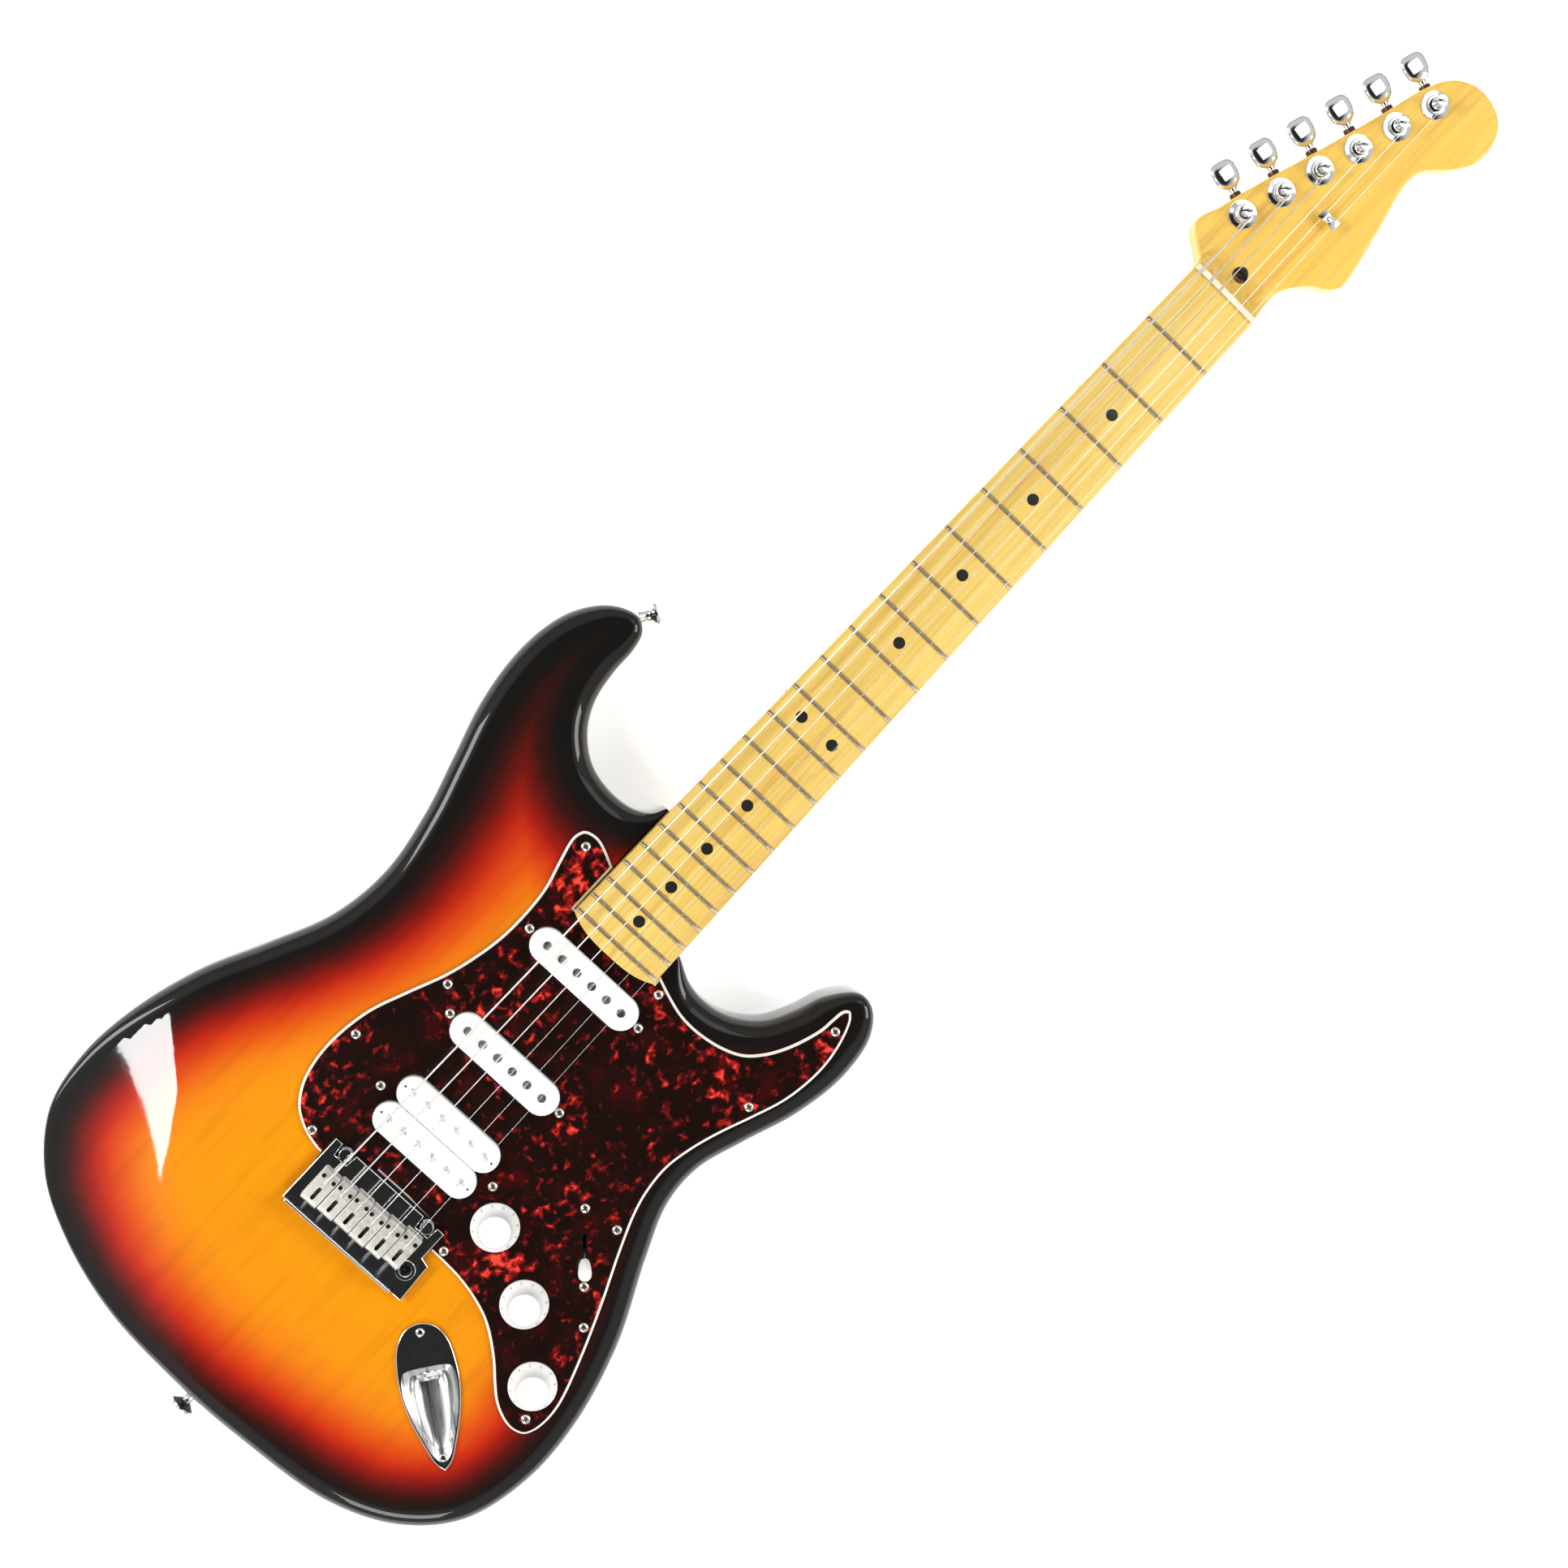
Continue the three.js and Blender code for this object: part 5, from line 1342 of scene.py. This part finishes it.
def make_pivots():
    for name in ("pivot_stud_bass", "pivot_stud_treble"):
        place = middle_of(name)
        top = box_of(name)[1].z
        edge = joint_place("tremolo_tilt").z
        stud = spun([(0, FACE - 18), (3, FACE - 18), (3, edge - 1.6), (3.5, edge - 1.4),
                     (2.4, edge - 0.3), (2.4, edge + 0.3), (3.6, edge + 1.4), (3.6, top - 0.5),
                     (3.2, top - 0.05), (0, top - 0.02)], 32, at(place.x, place.y))
        tool = rod(1.7, top - 2, top + 1, 6, at(place.x, place.y))
        piece(name + "_turned", stud, CHROME, ROOT, [name], tool)


def make_springs():
    """Real coils in place of the plain bars."""
    for k in (1, 2, 3):
        name = f"tremolo_spring_{k}"
        low, high = box_of(name)
        centre = (low + high) / 2
        wire, coil = 0.65, 2.9
        start, stop = low.x + 6, high.x - 11
        turns = 30
        points = [(low.x, centre.y, centre.z), (low.x + 3.5, centre.y, centre.z)]
        for s in range(turns * 12 + 1):
            a = TAU * s / 12
            x = lerp(start, stop, s / (turns * 12))
            points.append((x, centre.y + coil * math.cos(a), centre.z + coil * math.sin(a)))
        points += [(high.x - 8, centre.y, centre.z), (high.x, centre.y, centre.z)]
        piece(f"{name}_coil", tube(points, wire, 8), STEEL, ROOT, [name],
              sharp=80, weighted=False)


# ---------------------------------------------------------------- strings
POST_R = 3.2
WRAPS = 3
POST_STRING_Z = HEAD_Z + 6
TREE = middle_of("string_tree")
TREE_Z = HEAD_Z + 4
TREE_HALF = 5.6


def string_points(i):
    r = STRING_R[i]
    y = bridge_y(i)
    top = STRING_Z - sag(y)
    px, py, _ = post_place(i)
    side = py - POST_R - r - 0.1
    contact = box_of(f"saddle_{i + 1}")[1].x - 4
    bottom = box_of("inertia_block")[0].z + 8
    line = [(-12, y, bottom), (-12, y, PLATE_TOP + 1.2), (-11.4, y, top - 2.2),
            (-8.5, y, top - 0.7), (contact - 3, y, top - 0.12), (contact, y, top)]
    line += [(SCALE + 0.4, nut_y(i), STRING_NUT_Z + r - sag(nut_y(i))),
             (SCALE + 3.0, lerp(nut_y(i), side, 0.06), STRING_NUT_Z + r - sag(nut_y(i)) - 0.5)]
    if i > 3:
        line.append((TREE.x, lerp(nut_y(i), side, 0.5), TREE_Z))
    line.append((px, side, POST_STRING_Z))
    steps = 20
    for k in range(1, WRAPS * steps):
        a = -TAU / 4 + TAU * k / steps
        z = POST_STRING_Z - 2.1 * r * k / steps
        line.append((px + (POST_R + r) * math.cos(a), py + (POST_R + r) * math.sin(a), z))
    return line


def make_strings():
    for i in STRINGS:
        name = f"string_{i + 1}"
        look = WOUND[i] if i < 3 else PLAIN_STRING
        made = tube(string_points(i), STRING_R[i], 10)
        piece(name + "_wire", made, look, ROOT, [name], sharp=80, weighted=False)


def make_string_tree():
    """A butterfly clip with a wing over each of the two thinnest strings."""
    rings = []
    for k in range(13):
        y = lerp(-TREE_HALF, TREE_HALF, k / 12)
        lift = 0.9 * (1 - (abs(y) / TREE_HALF) ** 1.5)
        wide = lerp(3.4, 2.3, 1 - abs(y) / TREE_HALF)
        z = TREE_Z + 0.55 + lift
        rings.append([(-wide, y, z), (-wide + 0.4, y, z + 0.75), (0, y, z + 0.95),
                      (wide - 0.4, y, z + 0.75), (wide, y, z), (0, y, z + 0.2)])
    shape = Shape().merge(loft(rings), at(TREE.x, TREE.y))
    shape.merge(rod(1.9, HEAD_Z, TREE_Z + 1.4, 20, at(TREE.x, TREE.y)))
    piece("butterfly_tree", shape, CHROME, ROOT, ["string_tree"])
    screws("tree_screw", [(TREE.x, TREE.y, TREE_Z + 2.0)], 1.9, 0.6)


# ---------------------------------------------------------------- tuners
def make_tuners():
    out = Vector(JOINTS["tuner_key_1_turn"]["axis"]).normalized()
    along = Vector((out.y, -out.x, 0))
    case_top = HEAD_Z - HEAD_T - 0.3
    ferrules, cases, collars = Shape(), Shape(), Shape()
    for i in STRINGS:
        p = post_place(i)
        ferrules.merge(spun([(3.7, HEAD_Z - 5), (5.0, HEAD_Z - 5), (5.0, HEAD_Z + 0.05),
                             (7.9, HEAD_Z + 0.05), (7.9, HEAD_Z + 0.75), (7.6, HEAD_Z + 1.1),
                             (5.4, HEAD_Z + 1.4), (5.1, HEAD_Z + 2.2), (4.7, HEAD_Z + 2.4),
                             (3.7, HEAD_Z + 2.3)], 40, at(p.x, p.y)))
        turn = Matrix((along, out, Vector((0, 0, 1)))).transposed().to_4x4()
        place = Matrix.Translation((p.x, p.y, 0)) @ turn
        cases.merge(slab([rounded_box(-8.7, 15.0, -7.8, 9.8, 1.6, 4)],
                         rounded(case_top - 12, case_top, 1.4, 0.4, 4)), place)
        # The collars carry painted shadow and reflection of the wood in their colour.
        collars.merge(spun([(2.4, 9.5), (3.3, 9.5), (3.3, 11.9), (2.9, 12.8), (2.4, 12.8)], 28,
                           place @ aimed((9, 0, p.z), (0, 1, 0))))
        make_post(i, p)
        make_key(i, place, p.z)
    piece("tuner_ferrules", ferrules, CHROME, ROOT, ["tuner_housings"])
    piece("tuner_cases", cases, CHROME, ROOT)
    piece("tuner_collars", collars, COLLAR_WOOD_REFLECTION_PAINT, ROOT)
    spots = []
    for i in STRINGS:
        p = post_place(i)
        spots.append(p + along * -5.4 - out * 5.0)
    downward = [Matrix.Translation((s.x, s.y, case_top - 12)) @ Matrix.Rotation(math.pi, 4, "X")
                for s in spots]
    screws("tuner_screws", [(0, 0, 0)] * 6, 1.5, 0.5, matrices=downward)


def make_post(i, p):
    top = HEAD_Z + 11.8
    profile = [(0, p.z - 4), (3.2, p.z - 4), (3.2, HEAD_Z + 3.6), (2.9, HEAD_Z + 4.6),
               (2.75, HEAD_Z + 7.2), (3.0, HEAD_Z + 9.0), (3.2, HEAD_Z + 9.6), (3.2, top - 0.5),
               (2.8, top), (0, top)]
    cutter = Shape().merge(block(-5, 5, -0.65, 0.65, HEAD_Z + 7.4, top + 1), at(p.x, p.y, 0, -0.9))
    cutter.merge(rod(0.9, HEAD_Z + 2, top + 1, 16, at(p.x, p.y)))
    name = f"tuner_post_{i + 1}"
    piece(name + "_split", spun(profile, 32, at(p.x, p.y)), CHROME, name, [name], cutter)


def make_key(i, place, key_z):
    """The button is flat, wide at its end, and waisted where it meets its shaft."""
    shape = Shape().merge(spun([(0, -5), (2.3, -5), (2.3, 5), (2.1, 5), (2.1, 13.6), (2.9, 13.8),
                                (2.9, 15.4), (0, 16)], 24), place @ aimed((9, 0, key_z), (0, 1, 0)))
    sections = [(14.5, 2.4, 2.2), (15.2, 3.3, 2.8), (16.4, 5.0, 3.2), (18, 6.5, 3.6),
                (20.5, 7.5, 4.0), (24, 7.9, 4.1), (27, 7.8, 4.0), (29, 7.2, 3.6),
                (30.6, 6.0, 2.9), (31.5, 4.4, 1.9), (31.8, 2.8, 1.1)]
    rings = []
    for out, wide, thick in sections:
        ring = []
        for k in range(32):
            a = TAU * k / 32
            c, s = math.cos(a), math.sin(a)
            ring.append((9 + wide * math.copysign(abs(c) ** 0.75, c), out,
                         key_z + thick * math.copysign(abs(s) ** 0.6, s)))
        rings.append(ring)
    shape.merge(loft(rings), place)
    name = f"tuner_key_{i + 1}"
    piece(name + "_button", shape, CHROME, name, [name], sharp=50, weighted=False)


# ---------------------------------------------------------------- jack plate
JACK_TOP = box_of("jack_plate")[1].z
CUP_DEEP = 15.0
SHOULDER_DEEP = 2.2
# Halves of two outlines, as [along, across] from the plate's round end to its point.
SHOULDER_EDGE = [(9.2, 0), (9.4, 8.5), (10.6, 12.6), (15, 14.4), (24, 14.4), (36, 12.1), (48, 8.3),
                 (57, 4.6), (61, 0)]
BOWL_EDGE = [(12.6, 0), (12.8, 6.0), (14.0, 9.4), (18, 11.0), (26, 10.9), (36, 9.6), (45, 7.4),
             (51.5, 4.4), (54.5, 0)]


def jack_loop(half):
    other = [(u, -v) for u, v in half[-2:0:-1]]
    return curve_through(half + other, True, 5)


def make_jack_plate():
    """A flat plate whose long end slopes into a bowl, deepest behind the socket."""
    outer = refined(cad_loops("jack_plate", JACK_TOP)[0], 6, 1.2)
    shoulder, bowl = jack_loop(SHOULDER_EDGE), jack_loop(BOWL_EDGE)
    opening = [jack_point(*p) for p in shoulder]
    plate = slab([outer, opening], rounded(FACE + 0.3, JACK_TOP, 0.1, 0.75, 4),
                 [(0.0, FACE + 0.3), (0.0, JACK_TOP - 0.12), (-0.2, JACK_TOP)])
    rings = []
    for share in (0.0, 0.1, 0.4, 0.7, 0.92, 1.0):
        ring = [p.lerp(q, share) for p, q in zip(shoulder, bowl)]
        rings.append([(*jack_point(*p), JACK_TOP - 0.1 - SHOULDER_DEEP * share) for p in ring])
    centre = Vector((30, 0))
    for scale, share in ((0.985, 0.10), (0.96, 0.33), (0.92, 0.56), (0.86, 0.75), (0.77, 0.88),
                         (0.62, 0.96), (0.42, 0.99), (0.2, 1.0), (0.02, 1.0)):
        ring = []
        for p in bowl:
            q = centre.lerp(p, scale)
            deep = (CUP_DEEP - SHOULDER_DEEP) * max(0.06, min(1.0, 1 - (q.x - 13) / 44))
            trough = 0.75 + 0.25 * math.sqrt(max(0.0, 1 - (q.y / 12.5) ** 2))
            ring.append((*jack_point(*q), JACK_TOP - 0.1 - SHOULDER_DEEP - deep * share * trough))
        rings.append(ring)
    skin = loft(rings, mark=1, close=False)
    skin.faces.append([len(skin.verts) - len(bowl) + k for k in range(len(bowl))])
    skin.marks.append(1)
    plate.merge(skin)
    piece("jack_dish", plate, [CHROME, DISH_REFLECTION_PAINT], ROOT, ["jack_plate"], sharp=40)
    slope = 0.31
    axis = (JACK_ALONG.x * math.cos(slope), JACK_ALONG.y * math.cos(slope), math.sin(slope))
    nut_place = aimed((*jack_point(14.5, 0), JACK_TOP - 7.2), axis)
    nut = Shape().merge(spun([(4.6, 0.3), (6.3, 0.3), (6.3, 2.2), (5.9, 2.6), (4.6, 2.6)], 6), nut_place)
    nut.merge(spun([(3.4, -6), (4.6, -6), (4.6, 3.4), (4.3, 3.8), (3.4, 3.8)], 32), nut_place)
    piece("jack_nut", nut, STEEL, ROOT, ["output_jack"])
    spots = [(*jack_point(-9.2, 0), JACK_TOP), (*jack_point(58.5, 0), JACK_TOP - 0.6)]
    screws("jack_plate_screws", spots, 2.3, 0.9)


# ---------------------------------------------------------------- back and strap buttons
def make_back():
    cover = [rounded_box(-39, 113, -45.5, 43.5, 6, 8), stadium_box(-21, -7, -33, 33)]
    made = slab(cover, rounded(0, COVER_T, 0.9, 0.1, 4),
                [(-0.4, 0), (0, 0.4), (0, COVER_T)])
    piece("back_cover_plate", made, WHITE, ROOT, ["back_cover"], sharp=30)
    low, high = box_of("neck_plate")
    plate = slab([rounded_box(low.x, high.x, low.y, high.y, 5, 8)], rounded(0, COVER_T, 0.8, 0.1, 4))
    piece("neck_plate_pressed", plate, CHROME, ROOT, ["neck_plate"], sharp=30)


def stadium_box(x0, x1, y0, y1):
    return rounded_box(x0, x1, y0, y1, 3, 5)


def flipped(x, y, z):
    return Matrix.Translation((x, y, z)) @ Matrix.Rotation(math.pi, 4, "X")


def make_back_screws():
    sunk = 0.25
    cover = [(-35, -41), (-35, 39), (37, -41.5), (37, 39.5), (109, -41), (109, 39)]
    places = [flipped(x, y, sunk + 0.55) for x, y in cover]
    screws("back_cover_screws", [(0, 0, 0)] * len(cover), 2.6, 0.4, matrices=places)
    corners = [(191, -17.5), (191, 17.5), (239, -17.5), (239, 17.5)]
    places = [flipped(x, y, sunk + 0.75) for x, y in corners]
    screws("neck_screws", [(0, 0, 0)] * 4, 4.0, 0.6, matrices=places)


def make_strap_button(name, origin, axis):
    profile = [(0, 0.3), (4.6, 0.3), (4.5, 1.2), (3.9, 2.6), (3.5, 4.6), (3.7, 6.2), (4.8, 7.5),
               (6.6, 8.5), (7.25, 9.1), (7.4, 9.9), (7.1, 10.6), (6.2, 11.1), (4.4, 11.25),
               (3.4, 10.8), (2.6, 9.8), (0, 9.6)]
    place = aimed(origin, axis)
    piece(f"{name}_turned", spun(profile, 40, place), CHROME, ROOT, [name])
    screws(f"{name}_screw", [(0, 0, 0)], 2.9, 0.8, matrices=[place @ Matrix.Translation((0, 0, 9.9))])


def make_strap_buttons():
    z = (BACK + FACE) / 2
    make_strap_button("strap_button_lower", (-141, -1, z), (-1, 0, 0))
    make_strap_button("strap_button_upper", (314.3, 107, z), (0.86, -0.51, 0))


# ---------------------------------------------------------------- CAD nodes that stay as they are
def dress_cad_nodes():
    inside = {"truss_rod": STEEL, "inertia_block": STEEL, "spring_claw": STEEL,
              "control_pots": STEEL, "switch_frame": STEEL}
    for node, look in inside.items():
        shown = frame["nodes"][node]
        shown.data.materials.clear()
        shown.data.materials.append(look)


# ---------------------------------------------------------------- studio
def make_floor():
    look = Look("pale_floor", (0.85, 0.85, 0.85), 0.9)
    look.to("Base Color", look.ramp(look.noise(3, 2), [(0.3, 0.84), (0.7, 0.86)]))
    look.set("Emission Color", (1, 1, 1, 1))
    look.set("Emission Strength", 0.62)
    reach = 30000
    corners = [(-reach, -reach), (reach, -reach), (reach, reach), (-reach, reach)]
    shape = Shape().add([(x, y, -0.05) for x, y in corners], [[0, 1, 2, 3]])
    floor = mesh_object("floor", shape, [look.material])


def make_world():
    """Dim all round, a little brighter half way up, and dark overhead."""
    world = bpy.data.worlds.new("studio")
    bpy.context.scene.world = world
    world.use_nodes = True
    tree = world.node_tree
    place = tree.nodes.new("ShaderNodeTexCoord")
    split = tree.nodes.new("ShaderNodeSeparateXYZ")
    ramp = tree.nodes.new("ShaderNodeValToRGB")
    tree.links.new(place.outputs["Generated"], split.inputs["Vector"])
    tree.links.new(split.outputs["Z"], ramp.inputs["Fac"])
    tree.links.new(ramp.outputs["Color"], tree.nodes["Background"].inputs["Color"])
    elements = ramp.color_ramp.elements
    elements[0].position, elements[0].color = 0.0, (0.45, 0.45, 0.45, 1)
    elements[1].position, elements[1].color = 1.0, (0.02, 0.02, 0.02, 1)
    for position, value in ((0.30, 0.50), (0.60, 0.70), (0.86, 0.60), (0.93, 0.03)):
        made = elements.new(position)
        made.color = (value, value, value, 1)
    tree.nodes["Background"].inputs["Strength"].default_value = 1.0


def area_light(name, place, target, size, power):
    data = bpy.data.lights.new(name, "AREA")
    data.shape = "RECTANGLE"
    data.size, data.size_y = size
    data.energy = power
    light = bpy.data.objects.new(name, data)
    bpy.context.scene.collection.objects.link(light)
    light.location = place
    light.rotation_euler = (Vector(target) - Vector(place)).to_track_quat("-Z", "Y").to_euler()
    return light


# Places on the forearm contour where the camera sees the softbox's corner and a point of each of
# the two edges that meet there.
SHINE_CORNER = (-29, 155)
SHINE_WAIST = (12, 146)
SHINE_TIP = (-68, 82)


def mirrored_light(power):
    """A softbox that shows as a reflection in the forearm contour."""
    tilt = Matrix.Rotation(FOREARM["along"], 3, "Z") @ Matrix.Rotation(-FOREARM["slope"], 3, "X")
    normal = tilt @ Vector((0, 0, 1))
    foot = Vector((*FOREARM["middle"], FACE - FOREARM["deep"]))
    eye = CAMERA_AT / MM
    ghost = eye - normal * (2 * (eye - foot).dot(normal))

    distance = 1500

    def beyond(x, y):
        """Where the light stands that this point of the contour shows."""
        ray = Vector((x, y, face_z(x, y))) - ghost
        return ghost + ray * (1 + distance / ray.length)

    corner, tip, waist = beyond(*SHINE_CORNER), beyond(*SHINE_TIP), beyond(*SHINE_WAIST)
    across = (waist - corner).normalized()
    down = (tip - corner)
    down = (down - across * down.dot(across)).normalized()
    width, height = 175, 182
    middle = corner + across * width / 2 + down * height / 2
    facing = across.cross(down)
    if facing.dot(foot - middle) > 0:
        facing = -facing
    light = area_light("mirrored", middle * MM, foot * MM, (width * MM, height * MM), power)
    light.matrix_world = Matrix.Translation(middle * MM) @ Matrix(
        (across, facing.cross(across), facing)).transposed().to_4x4()


def make_lights():
    middle = (0.3, 0.0, 0.0)
    area_light("key", (-0.9, 2.0, 1.7), middle, (1.1, 1.1), 44)
    area_light("fill", (1.7, -1.7, 1.7), middle, (1.1, 1.1), 35)
    area_light("tail", (-1.7, -1.2, 1.5), middle, (0.9, 0.9), 21)
    area_light("headstock", (1.40, -0.06, 1.62), (0.75, 0.0, 0.0), (0.75, 0.95), 3.0)
    mirrored_light(3.4)
    bpy.context.scene.view_settings.view_transform = "Standard"


make_world()
make_lights()
make_floor()
make_body()
make_neck()
make_stripe()
make_frets()
make_dots()
make_nut()
make_pickguard()
make_guard_screws()
make_single_coil("neck_pickup")
make_single_coil("middle_pickup")
make_humbucker()
make_knob("volume_knob", "volume_turn", "volume_control")
make_knob("tone_knob_1", "tone_1_turn", "tone_control_1")
make_knob("tone_knob_2", "tone_2_turn", "tone_control_2")
make_switch()
make_bridge()
for number in STRINGS:
    make_saddle(number)
make_pivots()
make_springs()
make_strings()
make_string_tree()
make_tuners()
make_jack_plate()
make_back()
make_back_screws()
make_strap_buttons()
dress_cad_nodes()
